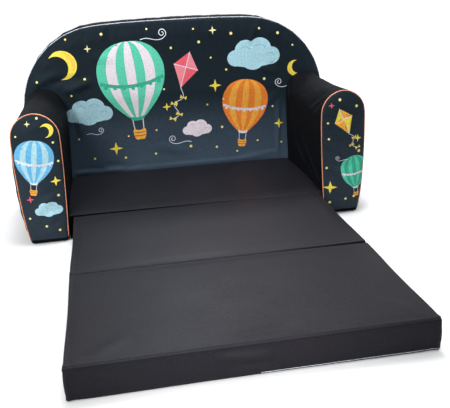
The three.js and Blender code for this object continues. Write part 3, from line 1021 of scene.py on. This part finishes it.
def welt(name, cushion, plane, radius, finish, body, cuts=()):
    """A thin round ridge where a flat seam runs round a cushion. A cut takes a side of it away."""
    ridge = new_object(name, cushion.data.copy())
    for place, away in cuts:
        in_edit_mode(ridge, (bpy.ops.mesh.bisect, {
            "plane_co": place, "plane_no": away, "clear_outer": True}))
    in_edit_mode(ridge, (bpy.ops.mesh.bisect, {
        "plane_co": plane[0], "plane_no": plane[1], "clear_inner": True, "clear_outer": True}))
    pick(ridge)
    bpy.ops.object.convert(target="CURVE")
    ridge.data.bevel_depth = radius
    ridge.data.bevel_resolution = 1
    ridge.data.materials.clear()
    bpy.ops.object.convert(target="MESH")
    in_edit_mode(ridge, (bpy.ops.mesh.faces_shade_smooth, {}))
    ridge.data.materials.append(finish)
    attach(ridge, body)
    print(name, "has", len(ridge.data.polygons), "faces")
    return ridge


for cushion in panel_cushions:
    stem = cushion.name.replace("_cushion", "")
    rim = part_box(stem + "_panel_border")[1].z
    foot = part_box(stem + "_panel_underside")[0].z
    body = bodies.get(cushion.name, "sofa_body")
    rear_cut = ((0, panel_ends[stem][1] - edge_zone, 0), (0, 1, 0))
    front_cut = ((0, panel_ends[stem][0] + edge_zone, 0), (0, -1, 0))
    cuts = {"base": [front_cut], "middle": [front_cut, rear_cut], "end": [rear_cut]}[stem]
    top_seam = ((0, 0, rim - top_seam_drop), up)
    foot_seam = ((0, 0, foot + foot_seam_rise), up)
    welt(stem + "_top_welt", cushion, top_seam, welt_radius, charcoal_cloth, body, cuts)
    welt(stem + "_foot_welt", cushion, foot_seam, thread_radius, charcoal_cloth, body)

front_of_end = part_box("end_panel_border")[0].y
thread_rise = 0.0013
fine_thread = 0.0004
rear_seam_inset = 0.003
thread_seam = ((0, 0, foot + foot_seam_rise + thread_rise), up)
welt("end_foot_thread", end_cushion, thread_seam, fine_thread, pale_ribbon, "end_section",
     [((0, front_of_end + edge_zone, 0), (0, 1, 0)), ((0, 0, 0), left)])
rear_seam = ((0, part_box("back_border")[1].y - rear_seam_inset, 0), (0, 1, 0))
welt("back_rear_welt", back_cushion, rear_seam, welt_radius, black_cloth, "sofa_body",
     [((0, 0, floor_band), (0, 0, -1))])

# %% Strips that are the hinges
top_strip_sag = 0.0026
floor_strip_sag = 0.0003
floor_strip_drop = 0.0024
strip_lap = 0.0004
strip_cloth = 0.0009
strip_crinkle = 0.0002
painted_strip_shade = 0.75
strip_columns = 130
strip_rows = 8
crinkle_scale = (46, 300)


def cloth_hinge(name, node, far_edge, near_edge, way, sag_by, gap):
    """A narrow strip of cloth across the gap between two panels."""
    low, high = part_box(node)
    bpy.ops.object.select_all(action="DESELECT")
    bpy.ops.mesh.primitive_grid_add(
        x_subdivisions=strip_columns, y_subdivisions=strip_rows, size=2)
    strip = bpy.context.object
    strip.name = name
    points = read_points(strip)
    across = points[:, 1].copy()
    reach = (far_edge - near_edge) / 2 + strip_lap
    points[:, 0] *= (high.x - low.x) / 2
    points[:, 1] = (far_edge + near_edge) / 2 + across * reach
    level = high.z if way > 0 else low.z - floor_strip_drop
    crinkle = np.array([noise.noise((*spot, 2)) for spot in points[:, :2] * crinkle_scale])
    sag = (1 - across ** 2) * (sag_by + strip_crinkle * crinkle)
    points[:, 2] = level - way * sag
    write_points(strip, points)
    add_modifier(strip, "SOLIDIFY", thickness=strip_cloth, offset=-way)
    apply_modifiers(strip)
    in_edit_mode(strip, (bpy.ops.mesh.faces_shade_smooth, {}))
    strip.data.materials.append(charcoal_cloth)
    # Painted shade: the strip is darkened where its gap is open, as in the slits beside it.
    slit = strip.data.attributes.new("slit", "FLOAT", "POINT")
    dark = painted_strip_shade * (1 - closed_share(read_points(strip)[:, 0], **gap) ** 3)
    slit.data.foreach_set("value", dark.astype(np.float32))
    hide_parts(node)
    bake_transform(strip)


cloth_hinge("middle_hinge_strip", "middle_fold_strip", panel_ends["base"][0],
            panel_ends["middle"][1], 1, top_strip_sag, first_gap)
cloth_hinge("end_hinge_strip", "end_fold_strip", panel_ends["middle"][0],
            panel_ends["end"][1], -1, floor_strip_sag, second_gap)

# %% [markdown]
# ## Piping
#
# A cord in a strip of ribbon is caught in the seam round each front, and turns in at its feet
# just above the floor. It could be a curve with a round bevel, drawn again along every outline.
# The CAD model already has it in its right place as an eight-sided tube, so a copy of that is
# rounded twice by subdivision, which leaves no corners in the cord or in its bends. A stuffed
# cushion is rounder at its edges than the solid, so each cord is then moved on to its cushion.

# %% Round the piping
piping_regain = -0.001
cord_radius = 0.00126
cord_sunk = 0.5
move_rounds = 6


def round_piping(node, finish):
    """A smooth cord that stands for the CAD model's eight-sided one."""
    cord = copied_form(node + "_cord", node)
    add_modifier(cord, "SUBSURF", levels=2, render_levels=2)
    apply_modifiers(cord)
    in_edit_mode(cord, (bpy.ops.mesh.faces_shade_smooth, {}))
    write_points(cord, read_points(cord) + read_normals(cord) * piping_regain)
    cord.data.materials.append(finish)
    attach(cord, "sofa_body")
    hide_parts(node)
    print(cord.name, "has", len(cord.data.polygons), "faces")
    return cord


def settle(cord, cushion):
    """Moves the places where a cord stands off its cushion back on to the cushion's round edge."""
    points, out = read_points(cord), read_normals(cord)
    skin = skin_of(cushion)
    move = np.zeros_like(points)
    for number, centre in enumerate(points - out * cord_radius):
        spot, direction = skin.find_nearest(centre)[:2]
        height = (Vector(centre) - spot).dot(direction)
        move[number] = -max(0, height - cord_sunk * cord_radius) * direction
    for turn in range(move_rounds):
        move = neighbour_mean(cord, move)
    write_points(cord, points + move)
    print(cord.name, "moved by up to", round(1000 * np.linalg.norm(move, axis=1).max(), 1), "mm")


back_cord = round_piping("back_piping", pale_ribbon)
settle(back_cord, back_cushion)
for side, arm in (("left", left_arm_cushion), ("right", right_arm_cushion)):
    settle(round_piping(side + "_arm_piping", peach_ribbon), arm)

# %% [markdown]
# ## Printed fronts
#
# The fronts are printed before they are sewn: a navy night sky with balloons, clouds, kites,
# moons and stars. The navy is set darker at the top and paler towards the foot. The print could
# be painted on a texture, or built from shader nodes. Here the shapes are drawn as outlines and
# cut into the cloth's own mesh, so their edges stay crisp at any distance. The sheet is then laid
# on the stuffed cushion, point by point, and so it follows each fold.

# %% Outlines of shapes, in millimetres
random.seed(7)


def oval(x, z, wide, high, lean=0, steps=36):
    """A closed oval, leaning by some degrees."""
    turn = math.radians(lean)
    loop = []
    for k in range(steps):
        across, along = (wide * math.cos(2 * math.pi * k / steps),
                         high * math.sin(2 * math.pi * k / steps))
        loop.append((x + across * math.cos(turn) - along * math.sin(turn),
                     z + across * math.sin(turn) + along * math.cos(turn)))
    return loop


def smooth(corners, closed=True, steps=6):
    """A smooth line through a few given corners."""
    count = len(corners)
    line = []
    for k in range(count if closed else count - 1):
        near_by = [(k + j) % count if closed else min(max(k + j, 0), count - 1)
                   for j in (-1, 0, 1, 2)]
        a, b, c, d = (np.array(corners[i], float) for i in near_by)
        for step in range(steps):
            t = step / steps
            line.append(tuple(0.5 * (2 * b + (c - a) * t + (2 * a - 5 * b + 4 * c - d) * t ** 2
                                     + (3 * b - a - 3 * c + d) * t ** 3)))
    if not closed:
        line.append(tuple(map(float, corners[-1])))
    return line


def brushed(line, width):
    """The outline of a brush line of one width."""
    points = np.array(line, float)
    ahead_of = np.gradient(points, axis=0)
    ahead_of /= np.linalg.norm(ahead_of, axis=1)[:, None]
    aside = np.column_stack([-ahead_of[:, 1], ahead_of[:, 0]]) * width / 2
    return [tuple(p) for p in np.concatenate([points + aside, (points - aside)[::-1]])]


def placed(loop, x, z, scale=1.0, lean=0.0):
    """A shape drawn round the origin, brought to its place and size."""
    turn = math.radians(lean)
    return [(x + scale * (a * math.cos(turn) - b * math.sin(turn)),
             z + scale * (a * math.sin(turn) + b * math.cos(turn))) for a, b in loop]


def hand_drawn(loop, waver=0.5):
    """The same shape as an unsteady hand would draw it."""
    return [(x + waver * noise.noise((x * 0.06, z * 0.06, 1)),
             z + waver * noise.noise((x * 0.06, z * 0.06, 9))) for x, z in loop]


print("an oval has", len(oval(0, 0, 1, 1)), "points")

# %% Colours of the print
dyes = {
    "mint": light_values(92, 201, 168),
    "deep_mint": light_values(58, 168, 138),
    "pale_blue": light_values(172, 212, 222),
    "mid_blue": light_values(128, 184, 206),
    "sky": light_values(104, 178, 220),
    "coral": light_values(236, 98, 110),
    "pink": light_values(240, 140, 150),
    "orange": light_values(240, 132, 54),
    "amber": light_values(246, 172, 70),
    "yellow": light_values(246, 220, 84),
    "cream": light_values(236, 232, 170),
    "white": light_values(222, 224, 232),
    "blush": light_values(232, 220, 226),
    "brown": light_values(120, 72, 62),
}
# The navy of each front by height in millimetres: darker at the top, paler towards the foot.
navy_by_height_of_back = ((60, (67, 82, 96)), (150, (55, 68, 81)), (250, (25, 36, 42)), (420, (13, 23, 30)))
navy_by_height_of_arms = ((40, (42, 52, 61)), (130, (39, 49, 58)), (230, (27, 38, 45)), (280, (25, 36, 43)))

# %% Balloon and cloud
balloon_half = [(0, 100), (34, 96), (66, 78), (86, 46), (90, 8), (80, -30), (58, -66), (34, -92),
                (17, -106)]


def balloon(x, z, scale, main, stripe, band, lean=0):
    """A hot-air balloon with upright stripes, a band, ropes and a basket."""
    shapes = []
    for share, dye in ((1.0, main), (0.72, stripe), (0.42, main), (0.14, stripe)):
        half = [(a * share, b) for a, b in balloon_half]
        shapes.append((dye, smooth(half + [(-a, b) for a, b in half[:0:-1]])))
    belt = [(-86, -2), (-45, -14), (0, -18), (45, -14), (86, -2)]
    shapes.append((band, brushed(smooth(belt, closed=False), 9)))
    for a in (-72, -48, -24, 0, 24, 48, 72):
        shapes.append((band, oval(a, -24 + abs(a) * 0.13, 5, 5, steps=14)))
    shapes.append((band, smooth([(-18, -103), (0, -106), (18, -103), (16, -112), (0, -115),
                                 (-16, -112)], steps=3)))
    for a in (-14, 14):
        shapes.append(("white", brushed([(a, -112), (a * 0.95, -128), (a * 0.9, -142)], 2.2)))
    shapes.append(("amber", smooth([(-17, -140), (0, -142), (17, -140), (13, -166), (0, -168),
                                    (-13, -166)], steps=4)))
    for b in (-148, -157):
        shapes.append(("brown", brushed([(-15, b), (0, b - 1.5), (15, b)], 2)))
    return [(dye, hand_drawn(placed(loop, x, z, scale, lean))) for dye, loop in shapes]


def cloud(x, z, scale, main, shade):
    """A flat-footed cloud with a few brush arcs."""
    shapes = [(main, oval(a, b, r, r * 0.92)) for a, b, r in
              ((-44, -4, 22), (-18, 14, 28), (18, 16, 30), (46, -2, 24), (0, -8, 30))]
    shapes.append((main, smooth([(-60, -10), (-40, -24), (0, -28), (42, -24), (64, -10), (40, 2),
                                 (0, 6), (-40, 2)])))
    for a, b, r in ((-20, 8, 15), (18, 10, 17), (44, -6, 11)):
        arc = [(a + r * math.cos(t), b + r * math.sin(t)) for t in np.linspace(0.5, 2.4, 9)]
        shapes.append((shade, brushed(arc, 2)))
    return [(dye, hand_drawn(placed(loop, x, z, scale))) for dye, loop in shapes]


print("a cloud has", len(cloud(0, 0, 1, "white", "sky")), "shapes")


# %% Kite and moon
def kite(x, z, scale, lean, main, other, tail):
    """A kite with a cross, and a tail with bows."""
    shapes = [(main, [(0, 50), (34, 8), (0, -50), (-34, 8)]),
              (other, [(0, 50), (34, 8), (0, 8)]), (other, [(0, -50), (-34, 8), (0, 8)]),
              ("white", brushed([(0, 50), (0, 0), (0, -50)], 2)),
              ("white", brushed([(-34, 8), (0, 8), (34, 8)], 2)),
              ("white", brushed(smooth(tail, closed=False), 1.8))]
    for a, b in tail[1:]:
        for way in (-1, 1):
            shapes.append(("yellow", [(a, b), (a + way * 9, b + 6), (a + way * 9, b - 5)]))
    return [(dye, hand_drawn(placed(loop, x, z, scale, lean))) for dye, loop in shapes]


def moon(x, z, radius, lean):
    """A crescent, with two thin strokes inside."""
    outer = [(math.cos(t), math.sin(t)) for t in np.linspace(-2.2, 2.2, 30)]
    inner = [(-0.45 + 0.82 * math.cos(t), 0.82 * math.sin(t))
             for t in np.linspace(1.74, -1.74, 24)][1:-1]
    shapes = [("yellow", outer + inner)]
    for r, span in ((0.84, 0.9), (0.7, 0.6)):
        arc = [(r * math.cos(t), r * math.sin(t)) for t in np.linspace(-span, span, 10)]
        shapes.append(("amber", brushed(arc, 0.045)))
    return [(dye, hand_drawn(placed(loop, x, z, radius, lean))) for dye, loop in shapes]


print("a moon has", len(moon(0, 0, 1, 0)), "shapes")


# %% Stars and wind
def sparkle(x, z, radius, dye="yellow", lean=0):
    """A four-pointed twinkle with hollow sides."""
    loop = []
    for k in range(16):
        reach = (1, 0.46, 0.3, 0.46)[k % 4]
        loop.append((reach * math.cos(math.pi * k / 8), reach * math.sin(math.pi * k / 8)))
    return [(dye, hand_drawn(placed(loop, x, z, radius, lean)))]


def dot(x, z, largest=3.8):
    """A far star: a cream dot with a yellow rim, larger or smaller by chance."""
    radius = random.uniform(0.6, 1) * largest
    return [("yellow", oval(x, z, radius, radius, steps=14)),
            ("cream", oval(x, z, radius * 0.72, radius * 0.72, steps=12))]


def swirl(x, z, scale, turns=1.5, way=1):
    """A curl of wind in one thin line."""
    curl = [(way * 60 * (t - 1), 3 * math.sin(t * 6)) for t in np.linspace(0, 1, 8)]
    for t in np.linspace(0, turns * 2 * math.pi, 26)[1:]:
        r = 13 * (1 - t / (turns * 2 * math.pi + 2.5))
        curl.append((way * r * math.sin(t), 1.4 + 13 - r * math.cos(t)))
    return [("white", hand_drawn(placed(brushed(curl, 2.0), x, z, scale)))]


print("a twinkle has", len(sparkle(0, 0, 1)[0][1]), "corners")

# %% The picture on each front
def scattered(places, kind=dot, **settings):
    """The same small shape at several places."""
    return [shape for place in places for shape in kind(*place, **settings)]


back_picture = [
    *balloon(-112, 292, 0.92, "mint", "blush", "deep_mint", lean=4),
    *cloud(-226, 214, 0.86, "pale_blue", "mid_blue"),
    *kite(22, 306, 0.92, -18, "coral", "pink",
          [(0, -50), (14, -74), (-6, -98), (16, -122), (2, -140)]),
    *cloud(196, 330, 1.0, "pale_blue", "mid_blue"),
    *balloon(172, 206, 0.66, "orange", "amber", "blush", lean=-6),
    *moon(-276, 336, 35, 24),
    *cloud(44, 152, 0.56, "blush", "pink"),
    *moon(306, 292, 20, 200),
    *sparkle(-166, 118, 17), *sparkle(96, 262, 16), *sparkle(-30, 216, 11),
    *sparkle(262, 150, 13), *sparkle(-322, 262, 10, "coral"),
    *sparkle(-212, 372, 9, "cream"), *sparkle(96, 398, 10, "cream"),
    *swirl(-30, 386, 0.9), *swirl(262, 248, 0.8, way=-1), *swirl(-20, 120, 0.8, way=-1),
    *swirl(-200, 160, 0.6),
    *scattered([(-340, 300), (-262, 396), (-176, 404), (-66, 410), (-226, 300), (-262, 262),
                (-256, 150), (-222, 96), (-132, 148), (-66, 96), (-60, 158), (-34, 262),
                (-10, 362), (60, 372), (88, 332), (74, 214), (110, 152), (26, 108), (94, 100),
                (126, 300), (142, 388), (116, 226), (224, 270), (246, 196), (204, 108),
                (148, 84), (268, 98), (262, 382), (300, 350), (338, 262), (-6, 226),
                (214, 396), (-144, 92), (48, 404)]),
]
left_arm_picture = [
    *balloon(-338, 186, 0.44, "sky", "pale_blue", "white", lean=-8),
    *moon(-306, 248, 14, 20),
    *cloud(-322, 78, 0.42, "pale_blue", "mid_blue"),
    *sparkle(-300, 140, 11), *sparkle(-356, 104, 8, "coral"), *sparkle(-342, 264, 6, "cream"),
    *scattered([(-368, 240), (-296, 222), (-298, 108), (-330, 42), (-362, 62), (-304, 30),
                (-322, 274), (-290, 182)], largest=3.4),
]
right_arm_picture = [
    *kite(330, 216, 0.62, 22, "yellow", "amber",
          [(0, -50), (12, -70), (-6, -92), (12, -112)]),
    *balloon(356, 100, 0.36, "mint", "deep_mint", "blush", lean=6),
    *sparkle(300, 66, 15), *sparkle(362, 176, 9), *sparkle(302, 252, 7, "coral"),
    *swirl(316, 128, 0.4, way=-1),
    *scattered([(320, 264), (358, 248), (296, 178), (292, 112), (336, 36), (300, 30), (356, 40),
                (294, 214), (366, 146)], largest=3.4),
]
print("shapes:", len(back_picture), len(left_arm_picture), len(right_arm_picture))

# %% The outline of a front, cut from its cushion
def seam_outline(cushion, depth, sole):
    """Where a cushion's front seam runs, in millimetres, from the right foot round to the left."""
    slice_of = new_object("slice", cushion.data.copy())
    in_edit_mode(slice_of, (bpy.ops.mesh.bisect, {
        "plane_co": (0, depth, 0), "plane_no": (0, 1, 0), "clear_inner": True,
        "clear_outer": True}))
    joined = {v.index: [] for v in slice_of.data.vertices}
    for edge in slice_of.data.edges:
        for here, there in (edge.vertices, reversed(edge.vertices)):
            joined[here].append(there)
    flat = [(1000 * v.co.x, 1000 * v.co.z) for v in slice_of.data.vertices]
    walk = [max(range(len(flat)), key=lambda i: flat[i][1])]
    while True:
        onward = [i for i in joined[walk[-1]] if i not in walk[-2:]]
        if not onward or onward[0] == walk[0]:
            break
        walk.append(onward[0])
    bpy.data.objects.remove(slice_of)
    loop = [flat[i] for i in walk]
    if sum(a * d - b * c for (a, b), (c, d) in zip(loop, loop[1:] + loop[:1])) < 0:
        loop.reverse()
    kept = [k for k, (x, z) in enumerate(loop) if z > sole]
    first = next(k for k in kept if loop[k - 1][1] <= sole)
    loop = loop[first:] + loop[:first]
    loop = [(x, z) for x, z in loop if z > sole]
    return [(loop[0][0], sole), *loop, (loop[-1][0], sole)]


def inside(places, loop):
    """Which places lie inside a closed loop."""
    x, z = places[:, 0], places[:, 1]
    odd = np.zeros(len(places), bool)
    for (ax, az), (bx, bz) in zip(loop, loop[1:] + loop[:1]):
        if az != bz:
            odd ^= ((az > z) != (bz > z)) & (x < ax + (z - az) * (bx - ax) / (bz - az))
    return odd


arm_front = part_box("left_arm_wrap")[0].y
back_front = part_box("back_border")[0].y
print("seams at", round(arm_front, 4), round(back_front, 4))

# %% Cut the picture into a flat sheet
sheet_step = 4.5
tuck = 0.6
same_corner = 0.02


def tucked(outline):
    """The outline drawn in a little, so that the sheet's edge lies under the piping."""
    centre = np.mean(outline, axis=0)
    return [tuple(centre + (np.array(p) - centre) * (1 - tuck / np.linalg.norm(p - centre)))
            for p in map(np.array, outline)]


def cut_flat(outline, picture):
    """The sheet's points and triangles, whose edges follow the outline and every shape."""
    low, high = np.min(outline, axis=0), np.max(outline, axis=0)
    corners, edges = [], []
    for loop in [outline] + [loop for dye, loop in picture]:
        base = len(corners)
        corners += [Vector(p) for p in loop]
        edges += [(base + k, base + (k + 1) % len(loop)) for k in range(len(loop))]
    for row, z in enumerate(np.arange(low[1] + sheet_step, high[1], sheet_step)):
        for x in np.arange(low[0] + sheet_step * (1 + row % 2 / 2), high[0], sheet_step):
            corners.append(Vector((x, z)))
    cut = delaunay_2d_cdt(corners, edges, [], 0, same_corner, False)
    flat, faces = np.array([tuple(p) for p in cut[0]]), np.array(cut[2])
    return flat, faces[inside(flat[faces].mean(axis=1), outline)]


def printed_colours(flat, faces, picture, ground):
    """A colour for each corner of each triangle: the navy, graded by height, and the shapes over
    it.
    """
    heights, shades = zip(*ground)
    shades = np.array([light_values(*shade) for shade in shades])
    navy_by_height = np.column_stack([np.interp(flat[:, 1], heights, shades[:, k]) for k in range(4)])
    colour, middles = navy_by_height[faces], flat[faces].mean(axis=1)
    for dye, loop in picture:
        colour[inside(middles, loop)] = dyes[dye]
    return colour


print("a sheet has a point every", sheet_step, "mm, and more where shapes are cut")

# %% The map of a sheet
lining_tilt = 0.05
lining_share = 0.38
map_gap = 0.02


def lay_out(mesh, low, high):
    """A map of the sheet as it was cut, flat and undistorted."""
    side = max(high - low)
    bake = mesh.uv_layers.new(name="OFBake")
    places = [((mesh.vertices[c.vertex_index].co.x - low[0]) / side,
               (mesh.vertices[c.vertex_index].co.z - low[1]) / side) for c in mesh.loops]
    bake.data.foreach_set("uv", np.clip(np.array(places), 0, 1).ravel())


def move_lining(mesh):
    """Puts the hidden inner side and the rim into a free corner of the map."""
    tall = max(c.uv[1] for c in mesh.uv_layers["OFBake"].data)
    wide = max(c.uv[0] for c in mesh.uv_layers["OFBake"].data)
    for face in mesh.polygons:
        for c in face.loop_indices:
            corner = mesh.uv_layers["OFBake"].data[c]
            if face.normal.y > lining_tilt:
                small = (corner.uv[0] * lining_share, corner.uv[1] * lining_share)
                corner.uv = ((small[0], tall + map_gap + small[1]) if tall < wide
                             else (wide + map_gap + small[0], small[1]))


print("the lining takes", lining_share, "of its size on the map")

# %% Lay the sheet on the cushion
sheet_lift = 0.0003
sheet_thickness = 0.0009
in_front = 0.1
front_tilt = 0.2


def laid_mesh(name, flat, faces, cushion, depth):
    """The flat sheet as a mesh that lies on the cushion, point by point."""
    skin = skin_of(cushion)
    used = np.unique(faces)
    new_number = np.full(len(flat), -1)
    new_number[used] = np.arange(len(used))
    laid = []
    for x, z in flat[used] / 1000:
        spot = skin.ray_cast((x, depth - in_front, z), (0, 1, 0))[0]
        laid.append(spot or skin.find_nearest((x, depth, z))[0])
    mesh = bpy.data.meshes.new(name)
    mesh.from_pydata([(p.x, p.y, p.z) for p in laid], [], new_number[faces].tolist())
    return mesh


def printed_sheet(name, cushion, depth, sole, picture, ground):
    """A printed front, laid over a cushion. Returns it with its flat size and its area."""
    outline = tucked(seam_outline(cushion, depth, sole))
    low, high = np.min(outline, axis=0), np.max(outline, axis=0)
    flat, faces = cut_flat(outline, picture)
    mesh = laid_mesh(name, flat, faces, cushion, depth)
    sheet = new_object(name, mesh)
    dye_map = mesh.color_attributes.new("dye", "FLOAT_COLOR", "CORNER")
    dye_map.data.foreach_set("color", printed_colours(flat, faces, picture, ground).reshape(-1))
    lay_out(mesh, low / 1000, high / 1000)
    write_points(sheet, read_points(sheet) + read_normals(sheet) * sheet_lift)
    add_modifier(sheet, "SOLIDIFY", thickness=sheet_thickness, offset=1)
    apply_modifiers(sheet)
    move_lining(mesh)
    in_edit_mode(sheet, (bpy.ops.mesh.faces_shade_smooth, {}))
    sheet.data.materials.append(printed_cloth)
    area = sum(p.area for p in sheet.data.polygons if p.normal.y < -front_tilt)
    print(name, "has", len(sheet.data.polygons), "faces and", round(area, 4), "square metres")
    return sheet, high - low, area


print("a sheet is", 1000 * sheet_thickness, "mm thick")

# %% Print and lay the three fronts
seam_depth = 0.0005
sole_height = 7.0
sheets = [
    printed_sheet("back_printed_front", back_cushion, back_front + seam_depth, sole_height,
                  back_picture, navy_by_height_of_back),
    printed_sheet("left_arm_printed_front", left_arm_cushion, arm_front + seam_depth,
                  sole_height, left_arm_picture, navy_by_height_of_arms),
    printed_sheet("right_arm_printed_front", right_arm_cushion, arm_front + seam_depth,
                  sole_height, right_arm_picture, navy_by_height_of_arms),
]
for (sheet, flat_size, area), cushion in zip(sheets, [back_cushion, *arm_cushions]):
    width, length = flat_size / 1000
    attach(sheet, "sofa_body")
    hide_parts(sheet.name.replace("_printed_front", "_front_panel"))
    min(area, width * length)

# %% [markdown]
# ## The zip
#
# Low on the rear runs the zip that the cover comes off by. Its two tapes are narrow woven bands,
# and each edge carries a coil of nylon whose loops mesh like teeth. A coil could be one helix,
# but only the loops' backs are to be seen, so each loop is a small rounded bead and two rows of
# them stand half a step apart. Rows of tiny stitches hold the tapes to the cover. The slider and
# its pull are the CAD model's own, in zinc.

# %% Tapes
bead_step = 0.0016
tape_thickness = 0.0008
stitch_step = 0.0032
stitch_size = (0.0011, 0.0003, 0.0003)
chain_low, chain_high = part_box("back_zip_chain")
chain_middle = (chain_low + chain_high) / 2
chain_length = chain_high.x - chain_low.x
tape_width = (chain_high.z - chain_low.z) / 2


def zip_tape(name, way):
    """One of the two bands, from the middle of the zip to its outer edge."""
    bpy.ops.object.select_all(action="DESELECT")
    bpy.ops.mesh.primitive_cube_add(size=1)
    tape = bpy.context.object
    tape.name = name
    height = chain_middle.z + way * tape_width / 2
    middle = (chain_middle.x, chain_low.y + tape_thickness / 2, height)
    in_edit_mode(
        tape,
        (bpy.ops.transform.resize, {
            "value": (chain_length, tape_thickness, tape_width - 2 * tape_thickness)}),
        (bpy.ops.transform.translate, {"value": middle}),
        (bpy.ops.mesh.bevel, {"offset": tape_thickness / 4, "segments": 2}),
    )
    tape.data.materials.append(tape_cloth)
    return tape


def row_of(name, size, place, step, finish):
    """Many small rounded beads in a row along the zip, made from one."""
    bpy.ops.object.select_all(action="DESELECT")
    bpy.ops.mesh.primitive_uv_sphere_add(segments=8, ring_count=5, radius=1)
    row = bpy.context.object
    row.name = name
    count = int((chain_high.x - 2 * size[0] - place[0]) / step) + 1
    in_edit_mode(row, (bpy.ops.transform.resize, {"value": size}),
                 (bpy.ops.transform.translate, {"value": place}),
                 (bpy.ops.mesh.faces_shade_smooth, {}))
    add_modifier(row, "ARRAY", count=count, use_relative_offset=False,
                 use_constant_offset=True, constant_offset_displace=(step, 0, 0))
    apply_modifiers(row)
    row.data.materials.append(finish)
    print(name, "has", count, "beads")
    return row


zip_tapes = [zip_tape("zip_tape_" + side, way) for side, way in (("lower", -1), ("upper", 1))]

# %% Coils and stitches
bead_size = (0.00062, 0.0011, 0.0022)
coil_lift = 0.0007
coil_apart = 0.55
stitch_line = 0.72
zip_pieces = list(zip_tapes)
for side, way in (("lower", -1), ("upper", 1)):
    start = chain_low.x + bead_step * (1 + (way + 1) / 4)
    zip_pieces.append(row_of(
        "zip_coil_" + side, bead_size,
        (start, chain_low.y + tape_thickness + coil_lift,
         chain_middle.z + way * bead_size[2] * coil_apart), bead_step, nylon))
    zip_pieces.append(row_of(
        "zip_stitches_" + side, stitch_size,
        (chain_low.x + stitch_step, chain_low.y + tape_thickness,
         chain_middle.z + way * tape_width * stitch_line), stitch_step, tape_cloth))
for piece in zip_pieces:
    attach(piece, "sofa_body")
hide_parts("back_zip_chain")

# %% Zinc for the slider and the pull
for name in ("zip_slider", "zip_pull"):
    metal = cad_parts[name]
    metal.data.materials.clear()
    metal.data.materials.append(zinc)
    print(name, "is", metal.active_material.name)
